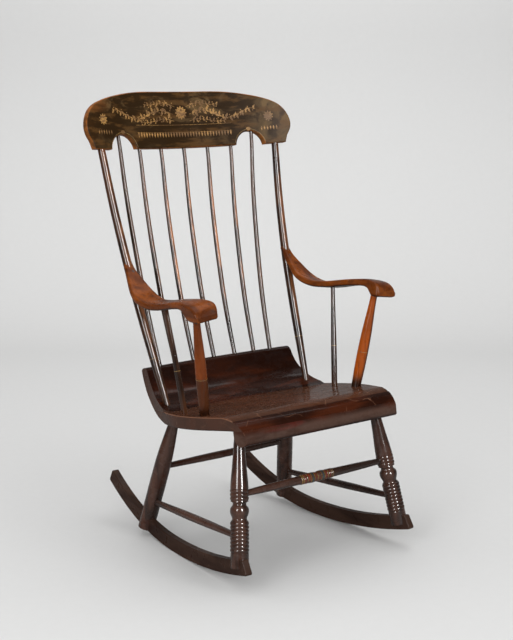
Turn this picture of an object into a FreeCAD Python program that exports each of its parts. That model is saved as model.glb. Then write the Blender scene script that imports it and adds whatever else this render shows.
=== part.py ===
import FreeCAD, Part
import math
import os

os.makedirs("parts", exist_ok=True)

Vector = FreeCAD.Vector

# The chair stands on level ground, its front towards -Y and its height along +Z.
# Lengths are in millimetres and angles in degrees. "Left" is the -X side.

# Fits of the glued and pegged joints
socket_clearance = 0.1
tenon_end_gap = 0.3
glue_line = 0.1
shoulder_gap = 0.3
cut_overrun = 4.0

# Seat, measured in its own tilted plane: depth runs back from the nose
seat_height = 360.5
seat_tilt = 8.65
seat_width = 546.0
seat_depth = 430.0
seat_nose_reach = 291.5
seat_thickness = 31.5
seat_corner_radius = 6.0
seat_edge_round = 3.5
socket_mouth_ease = 1.0
nose_reach = 66.5
roll_height = 67.0
roll_width = 34.0
riser_height = 101.0
riser_thickness = 25.0
riser_bow_radius = 1350.0
riser_setback = 20.0
riser_housing_depth = 1.5
seat_outline_shares = (
    (0.000, 0.857), (0.040, 0.869), (0.087, 0.886), (0.150, 0.910), (0.217, 0.938),
    (0.290, 0.970), (0.370, 0.993), (0.445, 1.000), (0.520, 0.993), (0.600, 0.970),
    (0.670, 0.941), (0.737, 0.910), (0.800, 0.885), (0.860, 0.862), (0.905, 0.847),
    (1.000, 0.834),
)
nose_curve_shares = (
    (1.000, 0.000), (0.560, 0.110), (0.240, 0.320), (0.050, 0.560), (0.000, 0.770),
)
roll_curve_shares = (
    (0.000, 0.770), (0.100, 0.925), (0.420, 1.000), (0.760, 0.930), (0.960, 0.740),
    (1.000, 0.480),
)
riser_front_shares = (
    (0.000, 0.000), (0.220, 0.070), (0.430, 0.215), (0.595, 0.405), (0.725, 0.655),
    (0.800, 0.900),
)
riser_back_shares = (
    (1.000, 0.930), (0.970, 0.700), (0.895, 0.400), (0.765, 0.120), (0.600, -0.080),
    (0.400, -0.215), (0.180, -0.290),
)
riser_foot_depth = 142.0

# Legs: their heads are set out on the seat, and their feet splay from there
leg_foot_height = 50.0
front_leg_width_share = 0.7546
front_leg_depth_share = 0.1390
front_leg_drop_share = 1.039
front_leg_splay = 44.5
front_leg_rake = 62.0
rear_leg_width_share = 0.6410
rear_leg_depth_share = 0.8543
rear_leg_drop_share = 0.420
rear_leg_splay = 46.0
rear_leg_rake = 66.0
leg_tenon_radius = 11.0
leg_tenon_depth = 22.0
front_leg_radius = 21.9
rear_leg_radius = 21.2
front_cheek_rise = 16.0
rear_cheek_rise = 5.0
leg_ring_depth = 1.8

# Front leg, from the seat's underside down: share of the visible length,
# share of the largest radius; rings and the ball follow their own tables
front_leg_taper_shares = (
    (0.015, 0.483), (0.100, 0.590), (0.200, 0.690), (0.290, 0.800), (0.350, 0.890),
    (0.400, 0.945), (0.428, 0.965),
)
front_leg_upper_rings_share = 0.430
front_leg_ring_pitch_share = 0.0275
front_leg_upper_ring_count = 3
front_leg_ball_shares = (
    (0.522, 0.940), (0.534, 0.720), (0.548, 0.735), (0.562, 0.900), (0.590, 1.000),
    (0.618, 0.910), (0.636, 0.800), (0.650, 0.790), (0.662, 0.930),
)
front_leg_lower_rings_share = 0.665
front_leg_lower_ring_count = 8
rear_leg_taper_shares = (
    (0.020, 0.525), (0.140, 0.620), (0.290, 0.780), (0.440, 0.920), (0.600, 0.985),
    (0.780, 1.000), (1.000, 0.990),
)
rear_leg_straight_share = 0.2

# Rockers: two arcs that meet where the chair touches the ground
rocker_thickness = 18.0
rocker_depth = 36.0
rocking_point_y = -1.25
rocker_front_radius = 1145.0
rocker_rear_radius = 683.0
rocker_front_overhang = 42.0
rocker_rear_overhang = 207.0
rocker_front_rake = 9.0
rocker_end_round = 5.0
rocker_edge_round = 2.0
slot_clearance = 0.15
rocker_peg_radius = 3.5

# Stretchers between the legs
stretcher_tenon_radius = 7.5
stretcher_tenon_depth = 14.0
front_stretcher_height = 217.0
front_stretcher_radius = 12.6
rear_stretcher_height = 186.0
rear_stretcher_radius = 9.8
side_stretcher_front_height = 123.0
side_stretcher_rear_height = 92.0
side_stretcher_radius = 9.6
bead_spacing = 29.0
bead_ring_pitch = 5.2
bead_ring_count = 4
plain_stretcher_shares = (
    (0.00, 0.79), (0.12, 0.84), (0.30, 0.96), (0.50, 1.00), (0.70, 0.96),
    (0.88, 0.84), (1.00, 0.79),
)
front_stretcher_shares = (
    (0.00, 0.600), (0.10, 0.630), (0.25, 0.690), (0.45, 0.745), (0.70, 0.790),
    (0.92, 0.830), (1.00, 0.857),
)

# Crest rail, measured in its own leaning plane
crest_half_width = 318.0
crest_height = 149.0
crest_thickness = 19.0
crest_bow_radius = 920.0
crest_lean = 13.5
crest_rise = 616.5
crest_setback = 292.0
crest_edge_round = 3.0
crest_arch_inner = 158.0
crest_arch_outer = 240.0
crest_arch_rise = 35.5
crest_outline_shares = (
    (0.000, 1.000), (0.220, 0.998), (0.410, 0.985), (0.540, 0.953), (0.707, 0.880),
    (0.790, 0.828), (0.874, 0.752), (0.912, 0.700), (0.950, 0.620), (0.984, 0.500),
    (1.000, 0.380), (1.000, 0.285), (0.982, 0.180), (0.962, 0.110), (0.950, 0.040),
    (0.940, -0.020),
)
crest_lobe_drop_share = 0.020

# Back posts and spindles, bent to one curve
post_radius = 11.2
post_top_share = 0.857
post_foot_depth_share = 0.786
post_foot_width_share = 0.813
post_tenon_radius = 6.5
post_tenon_depth = 30.0
post_foot_depth = 36.0
post_bend_shares = (
    (0.153, 0.182), (0.297, 0.352), (0.442, 0.519), (0.587, 0.667), (0.732, 0.802),
    (0.876, 0.913),
)
post_radius_shares = (
    (0.00, 0.740), (0.06, 0.800), (0.16, 0.930), (0.30, 0.990), (0.50, 1.000),
    (0.68, 0.950), (0.84, 0.890), (0.95, 0.850), (1.00, 0.830),
)
spindle_radius = 6.4
spindle_count = 7
spindle_top_shares = (-0.659, -0.453, -0.231, 0.000, 0.231, 0.453, 0.659)
spindle_foot_shares = (-0.646, -0.461, -0.241, 0.000, 0.241, 0.461, 0.646)
spindle_top_tenon_depth = 22.0
spindle_foot_tenon_depth = 26.0
spindle_bend_shares = (
    (0.188, 0.272), (0.358, 0.477), (0.527, 0.649), (0.697, 0.800), (0.866, 0.912),
)
spindle_radius_shares = (
    (0.00, 0.875), (0.10, 0.930), (0.25, 1.000), (0.45, 0.990), (0.65, 0.930),
    (0.85, 0.820), (0.96, 0.760), (1.00, 0.750),
)

# Arms: the top line runs from the rounded nose (0) back to the post (1). A row holds the
# place along it, its drop, its width, and its depth: of the roll in the hand's table and of
# the thickness in the blade's
arm_rise = 351.5
arm_nose_reach = 207.0
arm_sweep = 81.0
arm_flare = 25.0
arm_hand_width = 62.0
arm_thickness = 16.5
arm_roll_depth = 38.0
arm_roll_tilt = 8.0
arm_roll_turn = 33.0
arm_turn_end_share = 0.40
arm_corner_round = 6.0
arm_hand_shares = (
    (0.000, 1.000, 0.900, 0.280), (0.012, 0.880, 0.950, 0.600), (0.033, 0.775, 0.985, 0.850),
    (0.058, 0.720, 0.985, 0.960), (0.083, 0.698, 0.970, 1.000), (0.108, 0.687, 0.940, 0.940),
    (0.133, 0.684, 0.905, 0.740), (0.160, 0.685, 0.870, 0.550), (0.210, 0.698, 0.825, 0.460),
)
arm_blade_shares = (
    (0.293, 0.750, 0.780, 1.025), (0.370, 0.816, 0.765, 1.000), (0.451, 0.895, 0.775, 0.9875),
    (0.535, 0.960, 0.820, 0.9875), (0.620, 1.000, 0.890, 0.9875), (0.698, 0.974, 0.950, 0.9875),
    (0.764, 0.895, 0.960, 0.9875), (0.813, 0.789, 0.900, 0.9875), (0.853, 0.658, 0.790, 0.9875),
    (0.891, 0.513, 0.650, 0.9875), (0.950, 0.270, 0.440, 0.975), (1.000, 0.000, 0.360, 0.925),
)
arm_rest_clearance = 0.4
arm_peg_radius = 3.2
arm_peg_length = 26.0

# Arm posts and arm spindles
arm_post_radius = 13.8
arm_post_foot_depth_share = 0.352
arm_post_foot_width_share = 0.864
arm_post_top_share = 0.120
arm_post_head_offset = 6.0
arm_post_tenon_depth = 24.0
arm_post_shares = (
    (0.00, 0.880), (0.10, 0.930), (0.25, 0.990), (0.38, 1.000), (0.52, 0.960),
    (0.70, 0.820), (0.86, 0.665), (0.95, 0.612), (1.00, 0.610),
)
arm_spindle_radius = 7.6
arm_spindle_foot_depth_share = 0.551
arm_spindle_foot_width_share = 0.864
arm_spindle_top_share = 0.508
arm_spindle_head_offset = 0.0
arm_spindle_tenon_depth = 11.0
arm_spindle_shares = (
    (0.00, 1.000), (0.14, 1.000), (0.30, 0.990), (0.55, 0.900), (0.80, 0.750),
    (1.00, 0.680),
)
seat_socket_depth = 24.0


def mirrored(shape):
    return shape.mirror(Vector(0, 0, 0), Vector(1, 0, 0))


def place_along(shape, start, direction):
    """Puts a shape that was built up the Z axis onto a start point and direction."""
    turn = FreeCAD.Rotation(Vector(0, 0, 1), direction)
    placed = shape.copy()
    placed.Placement = FreeCAD.Placement(start, turn).multiply(placed.Placement)
    return placed


def rod(start, end, radius):
    """A round rod between two points."""
    run = end - start
    return Part.makeCylinder(radius, run.Length, start, run)


def socket(mouth, inward, radius, depth):
    """The drill for a round tenon: it starts outside the mouth and runs past the tenon."""
    way = Vector(inward)
    way.normalize()
    start = mouth - way * cut_overrun
    end = mouth + way * (depth + tenon_end_gap)
    return rod(start, end, radius + socket_clearance)


def seat_placement():
    turn = FreeCAD.Rotation(Vector(1, 0, 0), -seat_tilt)
    return FreeCAD.Placement(Vector(0, 0, seat_height), turn)


def seat_point(x, depth_share, height):
    """A point given across the seat, along its depth and above its plank."""
    along = seat_depth * depth_share - seat_nose_reach
    return seat_placement().multVec(Vector(x, along, height))


def seat_direction(x, y, z):
    return seat_placement().Rotation.multVec(Vector(x, y, z))


def spline_through(points):
    curve = Part.BSplineCurve()
    curve.interpolate(points)
    return curve.toShape()


def seat_outline_prism():
    """The seat's plan, as a block that trims the boards' ends."""
    half = seat_width / 2
    front = -seat_nose_reach
    right = [Vector(half * wide, front + seat_depth * deep, 0)
             for deep, wide in seat_outline_shares]
    corner = seat_corner_radius
    first = right[0]
    tail = right[-1]
    back = Vector(tail.x, tail.y + riser_thickness, 0)
    side = [Vector(first.x, first.y + corner, 0)]
    side += [point for point in right if point.y > first.y + corner + corner]
    left = [Vector(-point.x, point.y, 0) for point in side]
    front_right = Vector(first.x - corner, first.y, 0)
    front_left = Vector(-front_right.x, first.y, 0)
    swing = corner * (1 - math.sqrt(1 / 2))
    middle_right = Vector(first.x - swing, first.y + swing, 0)
    middle_left = Vector(-middle_right.x, middle_right.y, 0)
    back_left = Vector(-back.x, back.y, 0)
    edges = [
        Part.LineSegment(front_left, front_right).toShape(),
        Part.Arc(front_right, middle_right, side[0]).toShape(),
        spline_through(side),
        Part.LineSegment(side[-1], back).toShape(),
        Part.LineSegment(back, back_left).toShape(),
        Part.LineSegment(back_left, left[-1]).toShape(),
        spline_through(left),
        Part.Arc(left[0], middle_left, front_left).toShape(),
    ]
    outline = Part.Face(Part.Wire(edges))
    outline.translate(Vector(0, 0, -roll_height - cut_overrun))
    tall = roll_height + riser_height + cut_overrun + cut_overrun
    return outline.extrude(Vector(0, 0, tall))


def across(face):
    """Extrudes a side profile over the whole width of the seat."""
    half = seat_width / 2 + cut_overrun
    moved = face.copy()
    moved.translate(Vector(-half, 0, 0))
    return moved.extrude(Vector(half + half, 0, 0))


def nose_point(reach_share, drop_share):
    return Vector(0, nose_reach * reach_share - seat_nose_reach, -roll_height * drop_share)


def roll_point(width_share, drop_share):
    return Vector(0, roll_width * width_share - seat_nose_reach, -roll_height * drop_share)


def riser_axis_y():
    """The upright axis that the riser's bow is struck from."""
    return seat_depth - seat_nose_reach + riser_setback - riser_bow_radius


def riser_point(depth_share, height_share):
    """A point of the riser's section on the seat's centre line."""
    back = seat_depth - seat_nose_reach + riser_setback
    along = back - riser_foot_depth * (1 - depth_share)
    return Vector(0, along, riser_height * height_share)


def turned_about_riser_axis(face):
    """Sweeps a section of the riser round its bow, past both ends of the seat."""
    half_angle = math.degrees(math.asin(seat_width / (riser_bow_radius + riser_bow_radius)))
    sweep = half_angle + half_angle
    centre = Vector(0, riser_axis_y(), 0)
    turned = face.copy()
    turned.rotate(centre, Vector(0, 0, 1), -half_angle)
    return turned.revolve(centre, Vector(0, 0, 1), sweep)


def seat_underside_cutter():
    """Takes away the corner below and behind the curved back of the seat."""
    curve_points = [riser_point(*share) for share in riser_back_shares]
    low = curve_points[-1]
    high = curve_points[0]
    floor = -seat_thickness - roll_height
    far = high.y + seat_thickness + riser_thickness
    edges = [
        spline_through(curve_points),
        Part.LineSegment(low, Vector(0, low.y, floor)).toShape(),
        Part.LineSegment(Vector(0, low.y, floor), Vector(0, far, floor)).toShape(),
        Part.LineSegment(Vector(0, far, floor), Vector(0, far, high.z)).toShape(),
        Part.LineSegment(Vector(0, far, high.z), high).toShape(),
    ]
    return turned_about_riser_axis(Part.Face(Part.Wire(edges)))


def riser_housing():
    """The shallow recess in the plank's top that the riser is glued into."""
    foot = riser_point(0, 0)
    near = foot.y - socket_clearance
    far = foot.y + riser_foot_depth + riser_thickness
    low = -riser_housing_depth
    high = riser_height
    corners = [Vector(0, near, low), Vector(0, far, low), Vector(0, far, high),
               Vector(0, near, high)]
    return turned_about_riser_axis(Part.Face(Part.makePolygon(corners + corners[:1])))


def side_rims(body, height):
    """The edges at one height that follow the curved sides of the seat."""
    found = []
    for edge in body.Edges:
        box = edge.BoundBox
        level = abs(box.ZMin - height) < glue_line and abs(box.ZMax - height) < glue_line
        if level and box.YLength > box.XLength and box.YLength > seat_corner_radius:
            found.append(edge)
    return found


def seat_board():
    """The flat plank with the upper part of the rounded nose."""
    bottom = -seat_thickness
    back = seat_depth - seat_nose_reach + riser_setback
    top_points = [nose_point(*share) for share in nose_curve_shares]
    edges = [
        spline_through(top_points),
        Part.LineSegment(top_points[-1], Vector(0, back, top_points[-1].z)).toShape(),
        Part.LineSegment(Vector(0, back, top_points[-1].z), Vector(0, back, 0)).toShape(),
        Part.LineSegment(Vector(0, back, 0), top_points[0]).toShape(),
    ]
    body = across(Part.Face(Part.Wire(edges)))
    half = seat_width / 2 + cut_overrun
    keep = Part.makeBox(half + half, seat_depth + seat_depth, seat_thickness + cut_overrun,
                        Vector(-half, -seat_depth, bottom))
    body = body.common(keep).common(seat_outline_prism()).cut(seat_underside_cutter())
    rims = side_rims(body, 0) + side_rims(body, bottom)
    rounded = body.makeFillet(seat_edge_round, rims)
    over_roll = Part.makeBox(half + half, seat_depth + roll_point(1, 0).y,
                             seat_thickness + cut_overrun, Vector(-half, -seat_depth, bottom))
    whole = rounded.cut(over_roll).fuse(body.common(over_roll)).removeSplitter()
    return whole.cut(riser_housing())


def seat_front_roll():
    """The strip glued below the plank's front edge, carved on into its nose."""
    upper = [nose_point(*share) for share in nose_curve_shares]
    lower = [roll_point(*share) for share in roll_curve_shares]
    heel = Vector(0, lower[-1].y, 0)
    edges = [
        spline_through(upper),
        spline_through(lower),
        Part.LineSegment(lower[-1], heel).toShape(),
        Part.LineSegment(heel, upper[0]).toShape(),
    ]
    body = across(Part.Face(Part.Wire(edges)))
    half = seat_width / 2 + cut_overrun
    top = -seat_thickness - glue_line
    keep = Part.makeBox(half + half, seat_depth, roll_height,
                        Vector(-half, -seat_depth, top - roll_height))
    return body.common(keep).common(seat_outline_prism())


def seat_riser():
    """The bowed block glued on the plank's rear edge and hollowed into the seat."""
    front = [riser_point(*share) for share in riser_front_shares]
    back = [riser_point(*share) for share in riser_back_shares]
    crown = riser_point(1 - riser_thickness / riser_foot_depth / 2, 1)
    below = Vector(0, front[0].y, back[-1].z)
    edges = [
        spline_through(front),
        Part.Arc(front[-1], crown, back[0]).toShape(),
        spline_through(back),
        Part.LineSegment(back[-1], below).toShape(),
        Part.LineSegment(below, front[0]).toShape(),
    ]
    body = turned_about_riser_axis(Part.Face(Part.Wire(edges)))
    half = seat_width / 2 + cut_overrun
    keep = Part.makeBox(half + half, seat_depth + seat_depth, riser_height + riser_height,
                        Vector(-half, -seat_depth, glue_line - riser_housing_depth))
    return body.common(keep).common(seat_outline_prism())


def leg_line(front):
    """Foot and head of a right-hand leg's axis."""
    half = seat_width / 2
    if front:
        head = seat_point(half * front_leg_width_share, front_leg_depth_share,
                          -seat_thickness * front_leg_drop_share)
        foot = Vector(head.x + front_leg_splay, head.y - front_leg_rake, leg_foot_height)
    else:
        head = seat_point(half * rear_leg_width_share, rear_leg_depth_share,
                          -seat_thickness * rear_leg_drop_share)
        foot = Vector(head.x + rear_leg_splay, head.y + rear_leg_rake, leg_foot_height)
    return foot, head


def leg_axis_at(front, height):
    """The point of a right-hand leg's axis at a height above the ground."""
    foot, head = leg_line(front)
    share = (height - foot.z) / (head.z - foot.z)
    return foot + (head - foot) * share


def turning(stations, tenon_below, tenon_above):
    """Turns a round solid up the Z axis from (length, radius) stations and beads."""
    edges = []
    here = Vector(stations[0][1], 0, stations[0][0])
    if tenon_below:
        low = Vector(here.x, 0, here.z - tenon_below)
        edges.append(Part.LineSegment(Vector(0, 0, low.z), low).toShape())
        edges.append(Part.LineSegment(low, here).toShape())
        start = low.z
    else:
        edges.append(Part.LineSegment(Vector(0, 0, here.z), here).toShape())
        start = here.z
    for station in stations[1:]:
        there = Vector(station[1], 0, station[0])
        if len(station) == 4:
            through = Vector(station[3], 0, station[2])
            edges.append(Part.Arc(here, through, there).toShape())
        else:
            edges.append(Part.LineSegment(here, there).toShape())
        here = there
    end = here.z
    if tenon_above:
        high = Vector(here.x, 0, here.z + tenon_above)
        edges.append(Part.LineSegment(here, high).toShape())
        here = high
        end = high.z
    edges.append(Part.LineSegment(here, Vector(0, 0, end)).toShape())
    edges.append(Part.LineSegment(Vector(0, 0, end), Vector(0, 0, start)).toShape())
    return Part.Face(Part.Wire(edges)).revolve(Vector(0, 0, 0), Vector(0, 0, 1), 360)


def smooth_stations(pairs, length, radius, steps=4):
    """Fills a table of shares with in-between stations on a smooth curve."""
    curve = Part.BSplineCurve()
    curve.interpolate([Vector(length * along, radius * wide, 0) for along, wide in pairs])
    first = curve.FirstParameter
    span = curve.LastParameter - first
    count = steps * (len(pairs) - 1)
    found = [curve.value(first + span * index / count) for index in range(count + 1)]
    return [(point.x, point.y) for point in found]


def curved_turning(pairs, length, radius, tenon_below, tenon_above):
    """Turns a smooth tapering rod whose profile is one curve through its shares."""
    points = [Vector(radius * wide, 0, length * along) for along, wide in pairs]
    low = Vector(points[0].x, 0, points[0].z - tenon_below)
    high = Vector(points[-1].x, 0, points[-1].z + tenon_above)
    edges = [
        Part.LineSegment(Vector(0, 0, low.z), low).toShape(),
        Part.LineSegment(low, points[0]).toShape(),
        spline_through(points),
        Part.LineSegment(points[-1], high).toShape(),
        Part.LineSegment(high, Vector(0, 0, high.z)).toShape(),
        Part.LineSegment(Vector(0, 0, high.z), Vector(0, 0, low.z)).toShape(),
    ]
    return Part.Face(Part.Wire(edges)).revolve(Vector(0, 0, 0), Vector(0, 0, 1), 360)


def ring_stations(start, pitch, count, radius):
    """Rounded rings with narrow grooves between them."""
    stations = []
    groove = radius - leg_ring_depth
    for index in range(count):
        low = start + pitch * index
        stations.append((low + pitch, groove, low + pitch / 2, radius))
    return stations


def leg_length(front):
    """Length along the axis from the seat's underside to the end of the cheeks."""
    foot, head = leg_line(front)
    low = cheek_height(front)
    return (head - foot).Length * (head.z - low) / (head.z - foot.z)


def rocker_low(y):
    """Height of the rocker's lower edge above the ground."""
    reach = y - rocking_point_y
    radius = rocker_front_radius if reach < 0 else rocker_rear_radius
    return radius - math.sqrt(radius * radius - reach * reach)


def cheek_height(front):
    """Height of the ends of a leg's two cheeks."""
    foot, head = leg_line(front)
    rise = front_cheek_rise if front else rear_cheek_rise
    return rocker_low(foot.y) + rise


def front_leg_stations():
    """Stations down the leg, from the seat to the cheeks."""
    length = leg_length(True)
    radius = front_leg_radius
    pitch = front_leg_ring_pitch_share * length
    groove = radius - leg_ring_depth
    stations = [(0, leg_tenon_radius)]
    stations += [(length * along, radius * wide) for along, wide in front_leg_taper_shares]
    start = front_leg_upper_rings_share * length
    stations.append((start, groove))
    stations += ring_stations(start, pitch, front_leg_upper_ring_count, radius)
    stations += smooth_stations(front_leg_ball_shares, length, radius)
    start = front_leg_lower_rings_share * length
    stations.append((start, groove))
    stations += ring_stations(start, pitch, front_leg_lower_ring_count, radius)
    end = start + pitch * front_leg_lower_ring_count
    plain = radius - leg_ring_depth / 2
    stations.append((end + leg_ring_depth, plain))
    stations.append((length, plain))
    return stations


def uncut_leg(front):
    """A right-hand leg before its slot, turned from the seat downwards."""
    foot, head = leg_line(front)
    down = foot - head
    if front:
        shape = turning(front_leg_stations(), leg_tenon_depth, 0)
    else:
        pairs = ((0, leg_tenon_radius / rear_leg_radius),) + rear_leg_taper_shares
        straight = leg_length(False) * rear_leg_straight_share
        tapered = leg_length(False) - straight
        shape = curved_turning(pairs, tapered, rear_leg_radius, leg_tenon_depth, straight)
    return place_along(shape, head, down)


def leg_socket(front):
    foot, head = leg_line(front)
    return socket(head, head - foot, leg_tenon_radius, leg_tenon_depth)


def rocker_frame():
    """Foot of the front leg and unit vectors along and across the rocker."""
    front = leg_axis_at(True, leg_foot_height)
    rear = leg_axis_at(False, leg_foot_height)
    along = Vector(rear.x - front.x, rear.y - front.y, 0)
    along.normalize()
    across_way = Vector(along.y, -along.x, 0)
    return front, along, across_way


def rocker_reach(front):
    """How far a rocker runs from the rocking point to one of its tips."""
    foot, along, across_way = rocker_frame()
    if front:
        return (rocking_point_y - foot.y) / along.y + rocker_front_overhang
    rear = leg_axis_at(False, leg_foot_height)
    return (rear.y - rocking_point_y) / along.y + rocker_rear_overhang


def rocker_outline(inner, outer):
    """Side view of a rocker: its arcs moved inwards by 'inner' and outwards by 'outer'."""
    def arc_points(radius, reach, offset):
        angle = math.asin(reach / radius)
        here = radius - offset
        points = []
        for share in (0, 0.5, 1):
            turn = angle * share
            points.append(Vector(0, here * math.sin(turn), radius - here * math.cos(turn)))
        return points
    front_low = arc_points(rocker_front_radius, rocker_reach(True), outer)
    rear_low = arc_points(rocker_rear_radius, rocker_reach(False), outer)
    raked = rocker_reach(True) - rocker_front_rake
    front_up = arc_points(rocker_front_radius, raked, inner)
    rear_up = arc_points(rocker_rear_radius, rocker_reach(False), inner)
    for points in (front_low, front_up):
        for point in points:
            point.y = -point.y
    edges = [
        Part.Arc(front_low[0], front_low[1], front_low[2]).toShape(),
        Part.LineSegment(front_low[2], front_up[2]).toShape(),
        Part.Arc(front_up[2], front_up[1], front_up[0]).toShape(),
        Part.Arc(rear_up[0], rear_up[1], rear_up[2]).toShape(),
        Part.LineSegment(rear_up[2], rear_low[2]).toShape(),
        Part.Arc(rear_low[2], rear_low[1], rear_low[0]).toShape(),
    ]
    return Part.Face(Part.Wire(Part.sortEdges(edges)[0]))


def rocker_placement():
    """Sets a side view, drawn about the rocking point, in the right rocker's plane."""
    front, along, across_way = rocker_frame()
    angle = math.degrees(math.atan2(-along.x, along.y))
    share = (rocking_point_y - front.y) / along.y
    touch = front + along * share
    return FreeCAD.Placement(
        Vector(touch.x, touch.y, 0), FreeCAD.Rotation(Vector(0, 0, 1), angle))


def plain_rocker():
    body = rocker_outline(rocker_depth, 0)
    body.translate(Vector(-rocker_thickness / 2, 0, 0))
    body = body.extrude(Vector(rocker_thickness, 0, 0))
    ends = []
    for edge in body.Edges:
        low, high = edge.BoundBox.XMin, edge.BoundBox.XMax
        if high - low > rocker_thickness / 2 and abs(edge.BoundBox.Center.y) > rocker_depth:
            ends.append(edge)
    body = body.makeFillet(rocker_end_round, ends)
    rims = [edge for edge in body.Edges
            if edge.BoundBox.XMax - edge.BoundBox.XMin < glue_line]
    body = body.makeFillet(rocker_edge_round, rims)
    body.Placement = rocker_placement()
    return body


def slot_tool():
    """The bridle slot that a leg's foot straddles the rocker with."""
    wide = rocker_thickness + slot_clearance + slot_clearance
    body = rocker_outline(rocker_depth + slot_clearance, -rocker_depth)
    body.translate(Vector(-wide / 2, 0, 0))
    body = body.extrude(Vector(wide, 0, 0))
    body.Placement = rocker_placement()
    return body


def rocker_peg_line(front):
    """The ends of a peg driven across a foot and its rocker."""
    foot, head = leg_line(front)
    middle = leg_axis_at(front, rocker_low(foot.y) + rocker_depth / 2)
    radius = front_leg_radius if front else rear_leg_radius
    reach = rocker_frame()[2] * (radius + cut_overrun)
    return middle - reach, middle + reach


def rocker_peg(front):
    start, end = rocker_peg_line(front)
    return rod(start, end, rocker_peg_radius).common(uncut_leg(front))


def rocker_peg_hole(front):
    start, end = rocker_peg_line(front)
    return rod(start, end, rocker_peg_radius + socket_clearance)


def stretcher_line(first, second):
    """The visible run of a stretcher between two leg axes, and its direction."""
    way = second - first
    way.normalize()
    return first, second, way


def stretcher_setback(leg_radius):
    """How far from a leg's axis a stretcher's tenon ends."""
    return leg_radius - stretcher_tenon_depth


def side_stretcher_ends():
    rear = leg_axis_at(False, side_stretcher_rear_height)
    front = leg_axis_at(True, side_stretcher_front_height)
    return stretcher_line(rear, front)


def cross_stretcher_ends(front):
    height = front_stretcher_height if front else rear_stretcher_height
    right = leg_axis_at(front, height)
    left = Vector(-right.x, right.y, right.z)
    return stretcher_line(left, right)


def stretcher_tenon_run():
    """Length of the straight end, from the tenon's tip to just outside the leg."""
    return stretcher_tenon_depth + stretcher_tenon_radius / 2


def plain_stretcher(ends, radius, first_leg_radius, second_leg_radius):
    start, end, way = ends
    length = (end - start).Length
    run = stretcher_tenon_run()
    first_gap = stretcher_setback(first_leg_radius)
    second_gap = stretcher_setback(second_leg_radius)
    visible = length - first_gap - second_gap - run - run
    pairs = []
    for along, wide in plain_stretcher_shares:
        fit = stretcher_tenon_radius / radius
        pairs.append((along, max(wide, fit) if 0 < along < 1 else fit))
    shape = curved_turning(pairs, visible, radius, run, run)
    return place_along(shape, start + way * (first_gap + run), way)


def front_stretcher():
    """The show stretcher, with two beads and rings at its middle."""
    start, end, way = cross_stretcher_ends(True)
    setback = stretcher_setback(front_leg_radius)
    run = stretcher_tenon_run()
    visible = (end - start).Length - setback - setback - run - run
    radius = front_stretcher_radius
    groove = radius - leg_ring_depth
    ring = radius - leg_ring_depth / 2
    body_end = visible / 2 - bead_spacing - bead_ring_pitch * bead_ring_count
    fit = stretcher_tenon_radius / radius
    pairs = tuple((along, max(wide, fit)) for along, wide in front_stretcher_shares)
    plain = [(body_end * along, radius * wide) for along, wide in pairs]
    plain[0] = (0, stretcher_tenon_radius)
    stations = list(plain)
    here = body_end
    for index in range(bead_ring_count):
        stations.append((here + bead_ring_pitch, groove, here + bead_ring_pitch / 2, ring))
        here += bead_ring_pitch
    for index in range(2):
        stations.append((here + bead_spacing, groove, here + bead_spacing / 2, radius))
        here += bead_spacing
    for index in range(bead_ring_count):
        stations.append((here + bead_ring_pitch, groove, here + bead_ring_pitch / 2, ring))
        here += bead_ring_pitch
    stations += [(visible - along, wide) for along, wide in reversed(plain[:-1])]
    shape = turning(stations, run, run)
    return place_along(shape, start + way * (setback + run), way)


def stretcher_sockets(front):
    """Both stretcher sockets of a right-hand leg."""
    radius = front_leg_radius if front else rear_leg_radius
    deep = stretcher_tenon_depth
    holes = []
    start, end, way = cross_stretcher_ends(front)
    mouth = end - way * radius
    holes.append(socket(mouth, way, stretcher_tenon_radius, deep))
    start, end, way = side_stretcher_ends()
    if front:
        mouth = end - way * radius
        holes.append(socket(mouth, way, stretcher_tenon_radius, deep))
    else:
        mouth = start + way * radius
        holes.append(socket(mouth, way * -1, stretcher_tenon_radius, deep))
    return holes


def leg(front):
    body = uncut_leg(front)
    body = body.cut(slot_tool())
    for hole in stretcher_sockets(front):
        body = body.cut(hole)
    return body.cut(rocker_peg_hole(front))


def rocker():
    body = plain_rocker()
    for front in (True, False):
        body = body.cut(rocker_peg_hole(front))
    return body


def crest_placement():
    turn = FreeCAD.Rotation(Vector(1, 0, 0), -crest_lean)
    return FreeCAD.Placement(Vector(0, crest_setback, seat_height + crest_rise), turn)


def crest_sag(x):
    """How far the bow brings the rail forward of its middle."""
    return crest_bow_radius - math.sqrt(crest_bow_radius * crest_bow_radius - x * x)


def crest_point(x, height):
    """A point on the rail's middle surface."""
    return crest_placement().multVec(Vector(x, -crest_sag(x), height))


def crest_direction():
    return crest_placement().Rotation.multVec(Vector(0, 0, 1))


def crest_outline():
    half = crest_half_width
    drop = -crest_height * crest_lobe_drop_share
    right = [Vector(half * wide, 0, crest_height * tall) for wide, tall in crest_outline_shares]
    left = [Vector(-point.x, 0, point.z) for point in reversed(right)]
    top = spline_through(left + right[1:])
    middle = (crest_arch_inner + crest_arch_outer) / 2
    lobe_right = Vector(crest_arch_outer, 0, drop)
    arch_right = Vector(middle, 0, crest_arch_rise)
    inner_right = Vector(crest_arch_inner, 0, 0)
    lobe_left = Vector(-lobe_right.x, 0, lobe_right.z)
    arch_left = Vector(-arch_right.x, 0, arch_right.z)
    inner_left = Vector(-inner_right.x, 0, 0)
    edges = [
        top,
        Part.LineSegment(right[-1], lobe_right).toShape(),
        Part.Arc(lobe_right, arch_right, inner_right).toShape(),
        Part.LineSegment(inner_right, inner_left).toShape(),
        Part.Arc(inner_left, arch_left, lobe_left).toShape(),
        Part.LineSegment(lobe_left, left[0]).toShape(),
    ]
    return Part.Face(Part.Wire(edges))


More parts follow.
